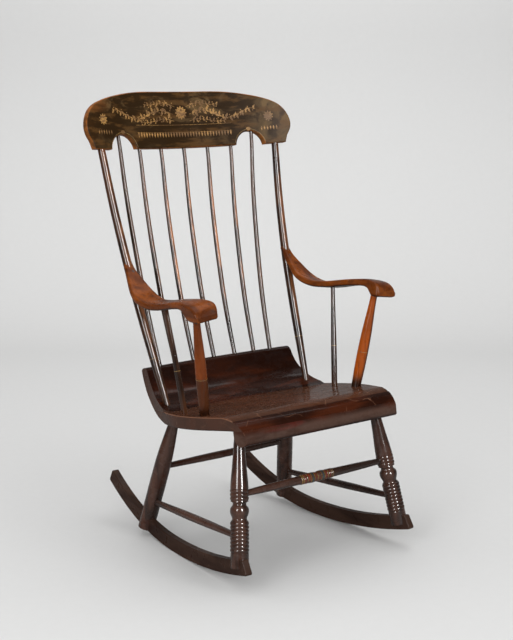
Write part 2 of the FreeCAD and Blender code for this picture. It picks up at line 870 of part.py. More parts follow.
def plain_crest():
    """The sawn and bent rail in its own plane."""
    deep = crest_sag(crest_half_width) + crest_thickness + cut_overrun
    face = crest_outline()
    face.translate(Vector(0, -deep, 0))
    block = face.extrude(Vector(0, deep + crest_thickness, 0))
    centre = Vector(0, -crest_bow_radius, -crest_height)
    tall = crest_height + crest_height + crest_height
    outer = Part.makeCylinder(crest_bow_radius + crest_thickness / 2, tall, centre)
    inner = Part.makeCylinder(crest_bow_radius - crest_thickness / 2, tall, centre)
    body = block.common(outer.cut(inner))
    body = max(body.Solids, key=lambda solid: solid.Volume)
    rims = []
    for edge in body.Edges:
        if is_rim(edge):
            rims.append(edge)
    return body.makeFillet(crest_edge_round, rims)


def is_rim(edge):
    """True for an edge that runs along the front or back face of the rail."""
    first = edge.FirstParameter
    span = edge.LastParameter - first
    for share in (0.25, 0.75):
        point = edge.valueAt(first + span * share)
        ring = math.hypot(point.x, point.y + crest_bow_radius)
        away = abs(abs(ring - crest_bow_radius) - crest_thickness / 2)
        if away > glue_line:
            return False
    return True


def bent_line(foot, head, bend_shares, foot_way, head_way):
    """The axis of an upright: a smooth bend from its foot to its head."""
    points = [foot]
    for tall, back in bend_shares:
        points.append(Vector(
            foot.x + (head.x - foot.x) * tall,
            foot.y + (head.y - foot.y) * back,
            foot.z + (head.z - foot.z) * tall))
    points.append(head)
    curve = Part.BSplineCurve()
    curve.interpolate(points, InitialTangent=foot_way, FinalTangent=head_way,
                      PeriodicFlag=False)
    return curve


def bent_rod(curve, radius_shares, radius):
    """A round, tapering rod along a bent axis."""
    length = curve.length()
    rings = []
    for along, wide in radius_shares:
        at = curve.parameterAtDistance(length * along, curve.FirstParameter)
        centre = curve.value(at)
        way = curve.tangent(at)[0]
        circle = Part.Circle(centre, way, radius * wide)
        rings.append(Part.Wire(circle.toShape()))
    return Part.makeLoft(rings, True, False, False)


def unit(vector):
    found = Vector(vector)
    found.normalize()
    return found


def upright_head_way(foot, head):
    """At the rail an upright runs in the rail's plane, with its own splay."""
    splay = (head.x - foot.x) / (head.z - foot.z)
    return unit(crest_direction() + Vector(splay, 0, 0))


def back_post_parts():
    """Axis and end directions of the right-hand back post."""
    foot_x = seat_width / 2 * post_foot_width_share
    foot = seat_point(foot_x, post_foot_depth_share, riser_surface(foot_x, post_foot_depth_share))
    head = crest_point(crest_half_width * post_top_share,
                       -crest_height * crest_lobe_drop_share - shoulder_gap)
    rise = head.z - foot.z
    first_tall, first_back = post_bend_shares[0]
    foot_way = unit(Vector((head.x - foot.x) / rise,
                           (head.y - foot.y) * first_back / (rise * first_tall), 1))
    head_way = upright_head_way(foot, head)
    curve = bent_line(foot, head, post_bend_shares, foot_way, head_way)
    return curve, foot, head, foot_way, head_way


def riser_surface(x, depth_share):
    """Height of the hollowed seat above the plank, near the riser's foot."""
    along = seat_depth * depth_share - seat_nose_reach
    ring = math.hypot(x, along - riser_axis_y())
    centre_line = riser_axis_y() + ring
    front = [riser_point(*share) for share in riser_front_shares]
    if centre_line <= front[0].y:
        return 0
    for low, high in zip(front, front[1:]):
        if centre_line <= high.y:
            share = (centre_line - low.y) / (high.y - low.y)
            return low.z + (high.z - low.z) * share
    return riser_height


def back_post(drilled):
    curve, foot, head, foot_way, head_way = back_post_parts()
    body = bent_rod(curve, post_radius_shares, post_radius)
    foot_tenon = rod(foot - foot_way * post_foot_depth, foot,
                     post_radius * post_radius_shares[0][1])
    head_tenon = rod(head - head_way * shoulder_gap, head + head_way * post_tenon_depth,
                     post_tenon_radius)
    body = body.fuse([foot_tenon, head_tenon]).removeSplitter()
    return body.cut(arm_peg_hole()) if drilled else body


def back_post_foot_socket():
    curve, foot, head, foot_way, head_way = back_post_parts()
    return socket(foot, foot_way * -1, post_radius * post_radius_shares[0][1], post_foot_depth)


def back_post_head_socket():
    curve, foot, head, foot_way, head_way = back_post_parts()
    return socket(head, head_way, post_tenon_radius, post_tenon_depth)


def spindle_parts(index):
    """Axis and end directions of one back spindle, counted from the left."""
    foot_x = seat_width / 2 * spindle_foot_shares[index]
    middle = riser_point(1 - riser_thickness / riser_foot_depth / 2, 1)
    ring = middle.y - riser_axis_y()
    along = riser_axis_y() + math.sqrt(ring * ring - foot_x * foot_x)
    depth_share = (along + seat_nose_reach) / seat_depth
    foot = seat_point(foot_x, depth_share, riser_height)
    head_x = crest_half_width * spindle_top_shares[index]
    in_arch = crest_arch_inner < abs(head_x) < crest_arch_outer
    mouth = crest_point(head_x, crest_arch_rise if in_arch else 0)
    head = mouth
    rise = head.z - foot.z
    first_tall, first_back = spindle_bend_shares[0]
    foot_way = unit(Vector((head.x - foot.x) / rise,
                           (head.y - foot.y) * first_back / (rise * first_tall), 1))
    head_way = upright_head_way(foot, head)
    lift = cut_overrun
    top = head - head_way * lift
    bottom = foot + foot_way * lift
    curve = bent_line(bottom, top, spindle_bend_shares, foot_way, head_way)
    return curve, bottom, top, foot_way, head_way


def spindle(index):
    curve, foot, head, foot_way, head_way = spindle_parts(index)
    body = bent_rod(curve, spindle_radius_shares, spindle_radius)
    foot_tenon = rod(foot - foot_way * (spindle_foot_tenon_depth + cut_overrun), foot,
                     spindle_radius * spindle_radius_shares[0][1])
    head_tenon = rod(head, head + head_way * (spindle_top_tenon_depth + cut_overrun),
                     spindle_radius * spindle_radius_shares[-1][1])
    return body.fuse([foot_tenon, head_tenon]).removeSplitter()


def spindle_foot_socket(index):
    curve, foot, head, foot_way, head_way = spindle_parts(index)
    return socket(foot, foot_way * -1, spindle_radius * spindle_radius_shares[0][1],
                  spindle_foot_tenon_depth + cut_overrun)


def spindle_head_socket(index):
    curve, foot, head, foot_way, head_way = spindle_parts(index)
    return socket(head, head_way, spindle_radius * spindle_radius_shares[-1][1],
                  spindle_top_tenon_depth + cut_overrun)


def post_axis_at(height):
    """The point of the right-hand back post's axis at a height above the ground."""
    curve, foot, head, foot_way, head_way = back_post_parts()
    low, high = curve.FirstParameter, curve.LastParameter
    for attempt in range(40):
        middle = (low + high) / 2
        if curve.value(middle).z < height:
            low = middle
        else:
            high = middle
    return curve.value((low + high) / 2)


def arm_joint_height():
    """Height above the ground where the arm's tip meets the back post."""
    return seat_height + arm_rise


def arm_turn(along):
    """The way a cut across the right arm faces: the roll's outer end is swept back."""
    part = min(along / arm_turn_end_share, 1)
    turn = math.radians(arm_roll_turn * math.sin(math.pi * part))
    return Vector(-math.sin(turn), math.cos(turn), 0)


def arm_stations():
    """The right arm's top line: place, width, depth, the cut's way and if it is upright."""
    joint = post_axis_at(arm_joint_height())
    back = joint.y - post_radius / 2
    rows = [(row, arm_roll_depth, True) for row in arm_hand_shares]
    rows += [(row, arm_thickness, False) for row in arm_blade_shares]
    stations = []
    for (along, drop, wide, deep), full_depth, upright in rows:
        x = joint.x + arm_flare * (1 - along)
        y = -arm_nose_reach + (back + arm_nose_reach) * along
        point = Vector(x, y, arm_joint_height() - arm_sweep * drop)
        facing = arm_turn(along)
        across_part = arm_hand_width * wide / facing.y
        stations.append((point, across_part, full_depth * deep, facing, upright))
    return stations


def arm_section(point, way, wide, thick):
    """A rounded rectangle hung below the top line, leaning outwards."""
    level = unit(Vector(way.y, -way.x, 0))
    side = unit(level - level.cross(way) * math.tan(math.radians(arm_roll_tilt)))
    up = side.cross(way)
    half = wide / 2
    top = thick / 2
    corner = min(arm_corner_round, thick / 3, half / 2)
    centre = point - up * top
    turn = corner * (1 - math.sqrt(1 / 2))

    def at(across_part, up_part):
        return centre + side * across_part + up * up_part

    edges = []
    for sign_x, sign_z in ((1, 1), (-1, 1), (-1, -1), (1, -1)):
        first_x = half * sign_x
        first_z = (top - corner) * sign_z
        second_x = (half - corner) * sign_x
        second_z = top * sign_z
        if sign_x * sign_z < 0:
            first_x, second_x = second_x, first_x
            first_z, second_z = second_z, first_z
        middle_x = (half - turn) * sign_x
        middle_z = (top - turn) * sign_z
        edges.append((at(first_x, first_z), at(middle_x, middle_z), at(second_x, second_z)))
    wire_edges = []
    for index, (first, middle, second) in enumerate(edges):
        wire_edges.append(Part.Arc(first, middle, second).toShape())
        following = edges[(index + 1) % len(edges)][0]
        wire_edges.append(Part.LineSegment(second, following).toShape())
    return Part.Wire(wire_edges)


def plain_arm():
    stations = arm_stations()
    last = len(stations) - 1
    wires = []
    for index, (point, wide, deep, facing, upright) in enumerate(stations):
        before = stations[index - 1][0]
        after = stations[min(index + 1, last)][0]
        rise = 0 if upright else (after.z - before.z) / (after.y - before.y)
        wires.append(arm_section(point, unit(facing + Vector(0, 0, rise)), wide, deep))
    return Part.makeLoft(wires, True, False, False)


def arm_under(share, offset):
    """A point on the right arm's lower face, at a share of its length and off its middle."""
    stations = arm_stations()
    nose = stations[0][0].y
    place = nose + (stations[-1][0].y - nose) * share
    index = sum(1 for station in stations[1:-1] if station[0].y < place)
    first, wide, first_deep, facing, upright = stations[index]
    second, wide, second_deep, facing, upright = stations[index + 1]
    mix = (place - first.y) / (second.y - first.y)
    below = first_deep + (second_deep - first_deep) * mix
    lean = math.tan(math.radians(arm_roll_tilt))
    down = Vector(offset - below * lean, 0, -below - offset * lean)
    return first + (second - first) * mix + down


def arm_support_line(foot_depth_share, foot_width_share, top_share, head_offset):
    foot_x = seat_width / 2 * foot_width_share
    foot = seat_point(foot_x, foot_depth_share, 0)
    head = arm_under(top_share, head_offset)
    return foot, head, unit(head - foot)


def arm_support(line, shares, radius, head_depth):
    """A straight turned support that is let into the seat and the arm."""
    foot, head, way = line
    low = foot + way * cut_overrun
    high = head - way * cut_overrun
    length = (high - low).Length
    shape = curved_turning(shares, length, radius, seat_socket_depth + cut_overrun,
                           head_depth + cut_overrun)
    return place_along(shape, low, way)


def arm_post_line():
    return arm_support_line(arm_post_foot_depth_share, arm_post_foot_width_share,
                            arm_post_top_share, arm_post_head_offset)


def arm_spindle_line():
    return arm_support_line(arm_spindle_foot_depth_share, arm_spindle_foot_width_share,
                            arm_spindle_top_share, arm_spindle_head_offset)


def arm_post():
    return arm_support(arm_post_line(), arm_post_shares, arm_post_radius, arm_post_tenon_depth)


def arm_spindle():
    return arm_support(arm_spindle_line(), arm_spindle_shares, arm_spindle_radius,
                       arm_spindle_tenon_depth)


def support_seat_socket(line, shares, radius):
    """The drill in the seat, with the eased edge of its mouth."""
    foot, head, way = line
    drill = radius * shares[0][1]
    hole = socket(foot, way * -1, drill, seat_socket_depth)
    narrow = drill + socket_clearance
    wide = narrow + socket_mouth_ease + cut_overrun
    mouth = Part.makeCone(narrow, wide, wide - narrow, foot - way * socket_mouth_ease, way)
    return hole.fuse(mouth)


def support_arm_socket(line, shares, radius, head_depth):
    """The drill in the arm, begun clear of the roll's sloping underside."""
    foot, head, way = line
    drill = radius * shares[-1][1]
    return socket(head - way * drill, way, drill, head_depth + drill)


def arm_peg_line():
    """A peg driven back through the arm's tip into the post."""
    axis = post_axis_at(arm_joint_height() - arm_sweep / 3)
    end = Vector(axis.x, axis.y + post_radius / 2, axis.z)
    start = Vector(axis.x, end.y - arm_peg_length, end.z + post_radius / 3)
    return start, end


def arm_notch():
    """A round gouge that lets the arm's rear end lie against the post."""
    low = post_axis_at(arm_joint_height() - arm_sweep)
    high = post_axis_at(arm_joint_height())
    way = unit(high - low)
    return rod(low - way * post_radius, high + way * arm_sweep,
               post_radius + arm_rest_clearance)


def arm():
    body = plain_arm().cut(arm_notch())
    body = max(body.Solids, key=lambda solid: solid.Volume)
    body = body.cut(arm_peg_hole())
    body = body.cut(support_arm_socket(arm_post_line(), arm_post_shares, arm_post_radius,
                                       arm_post_tenon_depth))
    return body.cut(support_arm_socket(arm_spindle_line(), arm_spindle_shares,
                                       arm_spindle_radius, arm_spindle_tenon_depth))


def arm_peg():
    start, end = arm_peg_line()
    return rod(start, end, arm_peg_radius).common(plain_arm().fuse(back_post(False)))


def arm_peg_hole():
    start, end = arm_peg_line()
    way = unit(end - start)
    return rod(start - way * cut_overrun, end + way * tenon_end_gap,
               arm_peg_radius + socket_clearance)


pieces = {}


def build_pieces():
    """Every node of the chair, in its final place but for the shift to the origin."""
    seat_place = seat_placement()
    drills = [leg_socket(True), leg_socket(False), back_post_foot_socket(),
              support_seat_socket(arm_post_line(), arm_post_shares, arm_post_radius),
              support_seat_socket(arm_spindle_line(), arm_spindle_shares, arm_spindle_radius)]
    drills += [mirrored(drill) for drill in list(drills)]
    drills += [spindle_foot_socket(index) for index in range(spindle_count)]
    for name, make in (("seat_board", seat_board), ("seat_front_roll", seat_front_roll),
                       ("seat_rear_riser", seat_riser)):
        shape = make()
        shape.Placement = seat_place.multiply(shape.Placement)
        for drill in drills:
            shape = shape.cut(drill)
        pieces[name] = shape
    for name, make in (("front_leg", lambda: leg(True)), ("rear_leg", lambda: leg(False)),
                       ("rocker", rocker), ("back_post", lambda: back_post(True)), ("arm", arm),
                       ("arm_post", arm_post), ("arm_spindle", arm_spindle),
                       ("side_stretcher", lambda: plain_stretcher(
                           side_stretcher_ends(), side_stretcher_radius, rear_leg_radius,
                           front_leg_radius))):
        shape = make()
        pieces["right_" + name] = shape
        pieces["left_" + name] = mirrored(shape)
    pieces["front_stretcher"] = front_stretcher()
    pieces["rear_stretcher"] = plain_stretcher(
        cross_stretcher_ends(False), rear_stretcher_radius, rear_leg_radius, rear_leg_radius)
    for index in range(spindle_count):
        pieces["back_spindle_" + str(index + 1)] = spindle(index)
    crest = plain_crest()
    crest.Placement = crest_placement().multiply(crest.Placement)
    for drill in [back_post_head_socket(), mirrored(back_post_head_socket())]:
        crest = crest.cut(drill)
    for index in range(spindle_count):
        crest = crest.cut(spindle_head_socket(index))
    pieces["crest_rail"] = crest
    pegs = [rocker_peg(True), rocker_peg(False)]
    pegs += [mirrored(peg) for peg in list(pegs)]
    pieces["rocker_pegs"] = Part.makeCompound(pegs)
    pieces["arm_pegs"] = Part.makeCompound([arm_peg(), mirrored(arm_peg())])


def export_pieces():
    """Sets the origin below the middle of the chair and writes one file a node."""
    box = Part.makeCompound(list(pieces.values())).optimalBoundingBox(False, False)
    shift = Vector(0, -box.Center.y, -box.ZMin)
    for name, shape in pieces.items():
        moved = shape.copy()
        moved.translate(shift)
        moved.exportStep("parts/" + name + ".step")


build_pieces()
export_pieces()
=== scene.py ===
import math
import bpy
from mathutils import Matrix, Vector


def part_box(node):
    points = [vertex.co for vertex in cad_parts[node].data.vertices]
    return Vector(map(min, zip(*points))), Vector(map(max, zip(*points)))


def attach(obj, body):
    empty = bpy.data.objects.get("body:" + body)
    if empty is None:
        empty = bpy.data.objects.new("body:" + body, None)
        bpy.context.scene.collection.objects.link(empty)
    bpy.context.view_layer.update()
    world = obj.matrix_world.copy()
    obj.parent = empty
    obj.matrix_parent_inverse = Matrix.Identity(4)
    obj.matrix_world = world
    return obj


bl_info = {
    "name": "Spindle Back Rocking Chair",
    "version": (1, 0, 0),
    "blender": (4, 5, 0),
    "location": "3D View > Sidebar > Rocking Chair",
    "description": "Paints, stencils and wears the wood of the packed rocking chair",
    "category": "Object",
}

import bpy
from mathutils import Euler, Matrix, Vector

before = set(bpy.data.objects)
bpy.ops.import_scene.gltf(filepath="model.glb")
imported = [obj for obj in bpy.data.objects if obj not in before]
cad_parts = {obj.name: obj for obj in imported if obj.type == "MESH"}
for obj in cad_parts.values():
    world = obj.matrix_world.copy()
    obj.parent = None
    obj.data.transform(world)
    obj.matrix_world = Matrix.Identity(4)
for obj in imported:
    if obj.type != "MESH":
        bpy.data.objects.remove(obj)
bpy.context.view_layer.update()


def pair(name):
    """The names of a left and a right piece."""
    return ["left_" + name, "right_" + name]


UPRIGHTS = pair("back_post")
SPINDLES = ["back_spindle_%d" % number for number in range(1, 8)]
ARMS = pair("arm")
ARM_POSTS = pair("arm_post")
ARM_SPINDLES = pair("arm_spindle")
LEGS = pair("front_leg") + pair("rear_leg")
SIDE_STRETCHERS = pair("side_stretcher")
ROCKERS = pair("rocker")
PEGS = ["rocker_pegs", "arm_pegs"]

# The crest rail's own plane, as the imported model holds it
CREST_LEAN = math.radians(13.5)
CREST_BOW = 0.920
CREST_THICKNESS = 0.019
CREST_BASE = Vector((0.0, 0.28782, 0.977))

# The two arches in its lower edge: ends, rise, and how far their painted lines stand off
ARCH_INNER = 0.158
ARCH_OUTER = 0.240
ARCH_RISE = 0.0355
EDGING_INSET = 0.0045
EDGING_STEPS = 40

# Leafy stems of the stencil: start, reach, rise, swing, half waves, first and last leaf size
SPRAYS = (
    ((0.026, 0.088), 0.200, -0.002, 0.011, 2.6, 1.00, 0.65),
    ((0.018, 0.108), 0.100, 0.012, 0.006, 1.6, 0.75, 0.50),
    ((0.024, 0.070), 0.110, 0.002, 0.005, 1.8, 0.70, 0.50),
)
STEM_STEPS = 60
LEAF_SPACING = 0.0105
LEAF_LEAN = 0.85
SMALL_LEAF_LEAN = 0.50
SMALL_LEAF_SHARE = 0.62
BERRY_OFFSET = 0.006
BERRY_SIZE = 0.20
BERRY_SIDES = 10

# Rosettes: height on the rail, petals, petal size and the size of the middle spot
MIDDLE_ROSETTE = (0.092, 12, 1.25, 0.55)
LOBE_ROSETTE = (0.072, 10, 1.00, 0.42)
LOBE_ROSETTE_ACROSS = 0.262
SPOT_LIFT = 0.0001

# The fan of leaves over each arch: height over it, leans and leaf size
FAN_RISE = 0.010
FAN_ANGLES = (-0.9, -0.45, 0.0, 0.45, 0.9)
FAN_LEAF_SIZE = 0.60

# Rows of darts: how many, first place, height and size; and the two lines round the long row
DART_SPACING = 0.0088
DART_ROWS = ((17, 0.0044, 0.0425, 0.97), (6, 0.238, 0.046, 0.80))
BORDER_HEIGHTS = (0.040, 0.060)
BORDER_STEP = 0.0075
BORDER_STEPS = 20

# Painted rings: heights above the floor, points in each, and how far above and below them
# the rod's lean is measured; and the sides of every painted line
RING_HEIGHTS = ((UPRIGHTS, 0.475), (ARM_POSTS, 0.472), (ARM_SPINDLES, 0.470))
RING_STEPS = 40
RING_PROBE = 0.01
BEAD_SIDES = 8

# The strip under the seat's front edge: its foremost place, its top and its half width there,
# and how much wider it gets for each metre towards the back
EDGE_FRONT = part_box("seat_front_roll")[0][1]
EDGE_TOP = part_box("seat_front_roll")[1][2]
EDGE_HALF = 0.234
EDGE_FLARE = 0.21

# Gloss of the turned black pieces and of the legs: coat, its roughness, and the base's shine
ROD_GLOSS = {"coat": 1.0, "coat_rough": 0.13, "shine": 0.06}
LEG_GLOSS = {"coat": 0.90, "coat_rough": 0.07, "shine": 0.20}

# The paper: half width, near end, where it starts to curve up, the curve's radius and the top
SWEEP_HALF_WIDTH = 5.0
SWEEP_NEAR = -5.0
SWEEP_BEND = 2.2
SWEEP_RADIUS = 1.4
SWEEP_TOP = 5.0
SWEEP_STEPS = 12

CHAIR_MIDDLE = (0.0, 0.0, 0.55)
CAMERA_PLACE = (-1.8599, -2.49997)
CAMERA_FRAME_WIDTH = 36.0
CAMERA_REACH = 50.0


def colour_property(name, description, colour):
    """A colour the user can change, in linear light."""
    return bpy.props.FloatVectorProperty(
        name=name, description=description, subtype="COLOR",
        size=3, min=0.0, max=1.0, default=colour)


def length_property(name, description, metres):
    """A length the user can change."""
    return bpy.props.FloatProperty(
        name=name, description=description, unit="LENGTH", min=0.0, default=metres)


def level_property(name, description, level):
    """A power or strength the user can change."""
    return bpy.props.FloatProperty(name=name, description=description, min=0.0, default=level)


def angle_property(name, description, degrees):
    """An angle the user can change."""
    return bpy.props.FloatProperty(
        name=name, description=description, subtype="ANGLE", default=math.radians(degrees))


class PaintColours(bpy.types.PropertyGroup):
    """Colours of the paint, varnish and bare wood."""

    crest_dark: colour_property(
        "Crest dark", "Smoked paint of the crest rail", (0.031, 0.015, 0.004))
    # Pale clouds of the crest rail: a painted reflection
    crest_pale_reflection: colour_property(
        "Crest pale", "Rubbed patches of the crest rail", (0.155, 0.090, 0.033))
    crest_streak: colour_property(
        "Crest streak", "Thin streaks along the crest rail", (0.115, 0.054, 0.015))
    crest_rim: colour_property(
        "Crest rim", "Bare wood along the rim of the crest rail", (0.300, 0.100, 0.022))
    gold: colour_property(
        "Gold", "Bronze powder of the stencil", (0.480, 0.250, 0.065))
    stripe: colour_property(
        "Stripe", "Yellow lines and rings", (0.360, 0.200, 0.045))
    arm_amber: colour_property(
        "Arm amber", "Varnished faces of the arms", (0.240, 0.058, 0.006))
    arm_brown: colour_property(
        "Arm brown", "Shaded grain of the arms", (0.090, 0.020, 0.003))
    support_orange: colour_property(
        "Support orange", "Bright swell of the arm posts", (0.420, 0.080, 0.004))
    turned_black: colour_property(
        "Turned black", "Paint of the spindles and posts", (0.012, 0.006, 0.004))
    # Orange of the rubbed rods, made bright as a painted highlight
    turned_warm_and_sheen: colour_property(
        "Turned warm", "Side of the spindles rubbed to orange wood", (0.500, 0.180, 0.065))
    turned_brown: colour_property(
        "Turned brown", "Worn paint of the spindles and posts", (0.080, 0.030, 0.013))
    seat_black: colour_property(
        "Seat black", "Dark streaks of the seat", (0.014, 0.004, 0.002))
    seat_red: colour_property(
        "Seat red", "Red ground of the seat", (0.054, 0.012, 0.004))
    seat_worn: colour_property(
        "Seat worn", "Rubbed edges of the seat, and chips elsewhere", (0.090, 0.050, 0.037))
    # Flat middle of the seat: painted sheen and wear
    seat_middle_sheen_and_wear: colour_property(
        "Seat middle", "Flat part of the seat, worn by sitting", (0.150, 0.062, 0.032))
    seat_smear: colour_property(
        "Seat smear", "Red smear under the seat's front edge", (0.170, 0.020, 0.014))
    # Pale cracks of the seat's varnish, also the pale edge lines of wear and painted highlight
    seat_cracks_and_edge_highlight: colour_property(
        "Seat cracks", "Fine pale cracks in the seat's varnish", (0.230, 0.110, 0.065))
    leg_dark: colour_property(
        "Leg dark", "Paint of the legs", (0.027, 0.0135, 0.0095))
    leg_brown: colour_property(
        "Leg brown", "Worn paint of the legs", (0.092, 0.040, 0.026))
    band_red: colour_property(
        "Band red", "Red bands of the front stretcher", (0.240, 0.032, 0.014))
    band_teal: colour_property(
        "Band teal", "Blue-green bands of the front stretcher", (0.040, 0.075, 0.085))
    rocker_brown: colour_property(
        "Rocker brown", "Scuffed paint of the rockers", (0.055, 0.029, 0.020))
    rocker_sole: colour_property(
        "Rocker sole", "Bare wood under the rockers", (0.20, 0.12, 0.07))
    peg_end: colour_property(
        "Peg end", "End grain of the pegs", (0.11, 0.05, 0.028))


class OrnamentSizes(bpy.types.PropertyGroup):
    """Sizes of the stencilled leaves, lines and rings."""

    leaf: length_property("Leaf", "Length of a large stencilled leaf", 0.017)
    dart: length_property("Dart", "Length of a border dart", 0.016)
    petal: length_property("Petal", "Length of a rosette's petal", 0.015)
    paint_lift: length_property("Paint lift", "Height of the gold above the rail", 0.00025)
    line_radius: length_property("Line radius", "Radius of a painted line's round", 0.0007)
    line_rise: length_property("Line rise", "How far a painted line stands proud", 0.0002)
    ring_radius: length_property("Ring radius", "Radius of a painted ring's round", 0.0010)


class StageSettings(bpy.types.PropertyGroup):
    """The studio and the camera."""

    floor_colour: colour_property(
        "Floor colour", "Seamless paper of the floor and backdrop", (0.68, 0.68, 0.675))
    floor_bounce: level_property(
        "Floor bounce", "Share of the floor's colour that it throws on the chair", 0.34)
    key_power: level_property(
        "Key power", "Power of the large lamp on the left, in watts", 31.0)
    fill_power: level_property(
        "Fill power", "Power of the lamp on the right, in watts", 20.0)
    top_power: level_property(
        "Top power", "Power of the lamp above, in watts", 17.0)
    backdrop_power: level_property(
        "Backdrop power", "Power of the lamp on the backdrop, in watts", 24.0)
    left_card_power: level_property(
        "Left card power", "Power of the left strip seen only in gloss, in watts", 66.0)
    right_card_power: level_property(
        "Right card power", "Power of the right strip seen only in gloss, in watts", 150.0)
    world_strength: level_property(
        "World strength", "Strength of the even light all round", 0.90)
    world_gloss: level_property(
        "World gloss", "Strength of the dim studio seen in gloss", 0.06)
    camera_height: length_property("Camera height", "Height of the lens above the floor", 1.1509)
    camera_turn: angle_property("Camera turn", "Turn of the camera about the upright", -36.9955)
    camera_dip: angle_property("Camera dip", "How far the camera looks down", 10.75)
    lens: bpy.props.FloatProperty(
        name="Lens", description="Focal length in millimetres for a 36 mm wide frame",
        min=1.0, default=88.315)


# Node helpers for the materials and the Geometry Nodes trees

def feed(tree, node, feeds):
    """Sets a node's inputs, each from another node's output or from a plain value."""
    for label, source in feeds.items():
        socket = node.inputs[label]
        if isinstance(source, bpy.types.NodeSocket):
            tree.links.new(source, socket)
        else:
            socket.default_value = source


def add_node(tree, kind, feeds=None, **settings):
    """Adds a node with its settings and feeds its inputs."""
    node = tree.nodes.new(kind)
    for name, value in settings.items():
        setattr(node, name, value)
    feed(tree, node, feeds or {})
    return node


class Weave:
    """A material under construction, with short ways to add and join its nodes."""

    def __init__(self, name):
        self.material = bpy.data.materials.new(name)
        self.material.use_nodes = True
        self.tree = self.material.node_tree
        self.tree.nodes.clear()
        self.shader = self.add("ShaderNodeBsdfPrincipled")
        self.output = self.add("ShaderNodeOutputMaterial", {"Surface": self.shader.outputs["BSDF"]})
        self.place = self.add("ShaderNodeTexCoord").outputs["Object"]
        self.geometry = self.add("ShaderNodeNewGeometry").outputs
        self.normal = self.geometry["Normal"]

    def add(self, kind, feeds=None, **settings):
        return add_node(self.tree, kind, feeds, **settings)

    def maths(self, operation, first, second=0.0, clamp=False):
        return self.add("ShaderNodeMath", {0: first, 1: second},
                        operation=operation, use_clamp=clamp).outputs[0]

    def times(self, *values):
        """The product of two or more values."""
        product = values[0]
        for value in values[1:]:
            product = self.maths("MULTIPLY", product, value)
        return product

    def part(self, vector, axis):
        """One axis of a vector."""
        return self.add("ShaderNodeSeparateXYZ", {0: vector}).outputs[axis]

    def reach(self, vector, axis):
        """How far a vector goes along an axis, either way."""
        return self.maths("ABSOLUTE", self.part(vector, axis))

    def facing(self, direction):
        """How squarely the surface looks in a direction."""
        return self.add("ShaderNodeVectorMath", {0: self.normal, 1: direction},
                        operation="DOT_PRODUCT").outputs["Value"]

    def bent(self, value, reach):
        """The place on the chair, pushed along all three axes by a value."""
        push = self.times(value, reach)
        shift = self.add("ShaderNodeCombineXYZ", {axis: push for axis in "XYZ"}).outputs["Vector"]
        return self.add("ShaderNodeVectorMath", {0: self.place, 1: shift},
                        operation="ADD").outputs["Vector"]

    def stretched(self, scale, turn=(0.0, 0.0, 0.0)):
        return self.add("ShaderNodeMapping", {
            "Vector": self.place, "Rotation": turn, "Scale": scale}).outputs["Vector"]

    def noise(self, vector, scale, detail=4.0, rough=0.55, twist=0.0):
        return self.add("ShaderNodeTexNoise", {
            "Vector": vector, "Scale": scale, "Detail": detail, "Roughness": rough,
            "Distortion": twist}).outputs[0]

    def cell_edges(self, vector, scale):
        """Distance from the edges of irregular cells."""
        return self.add("ShaderNodeTexVoronoi", {"Vector": vector, "Scale": scale},
                        feature="DISTANCE_TO_EDGE").outputs["Distance"]

    def waves(self, vector, scale, twist, detail=3.0):
        return self.add("ShaderNodeTexWave", {
            "Vector": vector, "Scale": scale, "Distortion": twist,
            "Detail": detail}).outputs[1]

    def between(self, value, low, high, start=0.0, end=1.0):
        """A smooth step from start to end while the value goes from low to high."""
        return self.add("ShaderNodeMapRange", {
            "Value": value, "From Min": low, "From Max": high, "To Min": start, "To Max": end},
            interpolation_type="SMOOTHSTEP").outputs["Result"]

    def blend(self, share, first, second):
        """The first colour, turned into the second one by a share."""
        feeds = {"Factor": share}
        for label, colour in (("A", first), ("B", second)):
            plain = not isinstance(colour, bpy.types.NodeSocket)
            feeds[label] = (*colour, 1.0) if plain else colour
        return self.add("ShaderNodeMix", feeds, data_type="RGBA").outputs["Result"]

    def bands(self, value, stops):
        """A run of colours along a value between 0 and 1."""
        node = self.add("ShaderNodeValToRGB", {0: value})
        entries = node.color_ramp.elements
        while len(entries) < len(stops):
            entries.new(0.5)
        for entry, (position, colour) in zip(entries, stops):
            entry.position = position
            entry.color = (*colour, 1.0)
        return node.outputs["Color"]

    def bump(self, height, depth, under=None):
        feeds = {"Strength": 1.0, "Distance": depth, "Height": height}
        if under is not None:
            feeds["Normal"] = under
        return self.add("ShaderNodeBump", feeds).outputs["Normal"]

    def finish(self, colour, rough, normal=None, coat=0.0, coat_rough=0.1, shine=0.5):
        """Closes the material: colour and roughness, then the coat and the base's shine."""
        feeds = {"Base Color": colour, "Roughness": rough, "Coat Weight": coat,
                 "Coat Roughness": coat_rough, "Specular IOR Level": shine}
        if normal is not None:
            feeds["Normal"] = normal
        feed(self.tree, self.shader, feeds)
        return self.material


class WornWood(Weave):
    """A wood finish with fine grain, broad figure and small scuffs, each from 0 to 1."""

    def __init__(self, name, along):
        super().__init__(name)
        self.grain = self.noise(self.drawn_out(along, 0.04), 210.0, 2.0, 0.5)
        self.figure = self.noise(self.drawn_out(along, 0.16), 34.0, 3.0, 0.5, 0.6)
        self.scuffs = self.noise(self.place, 48.0, 3.0, 0.5)

    def drawn_out(self, along, slow, turn=(0.0, 0.0, 0.0)):
        """Places for a pattern that is drawn out along one axis of the chair."""
        return self.stretched(tuple(slow if axis == along else 1.0 for axis in "XYZ"), turn)

    def relief(self, grain_depth, scuff_depth):
        return self.bump(self.grain, grain_depth, self.bump(self.scuffs, scuff_depth))

    def worn_finish(self, colour, rough, relief, low=0.3, **gloss):
        """Closes a finish that is rougher where scuffed, with grain and scuffs in relief."""
        return self.finish(colour, self.between(self.scuffs, low, 0.7, *rough),
                           self.relief(*relief), **gloss)


# Finishes of the chair

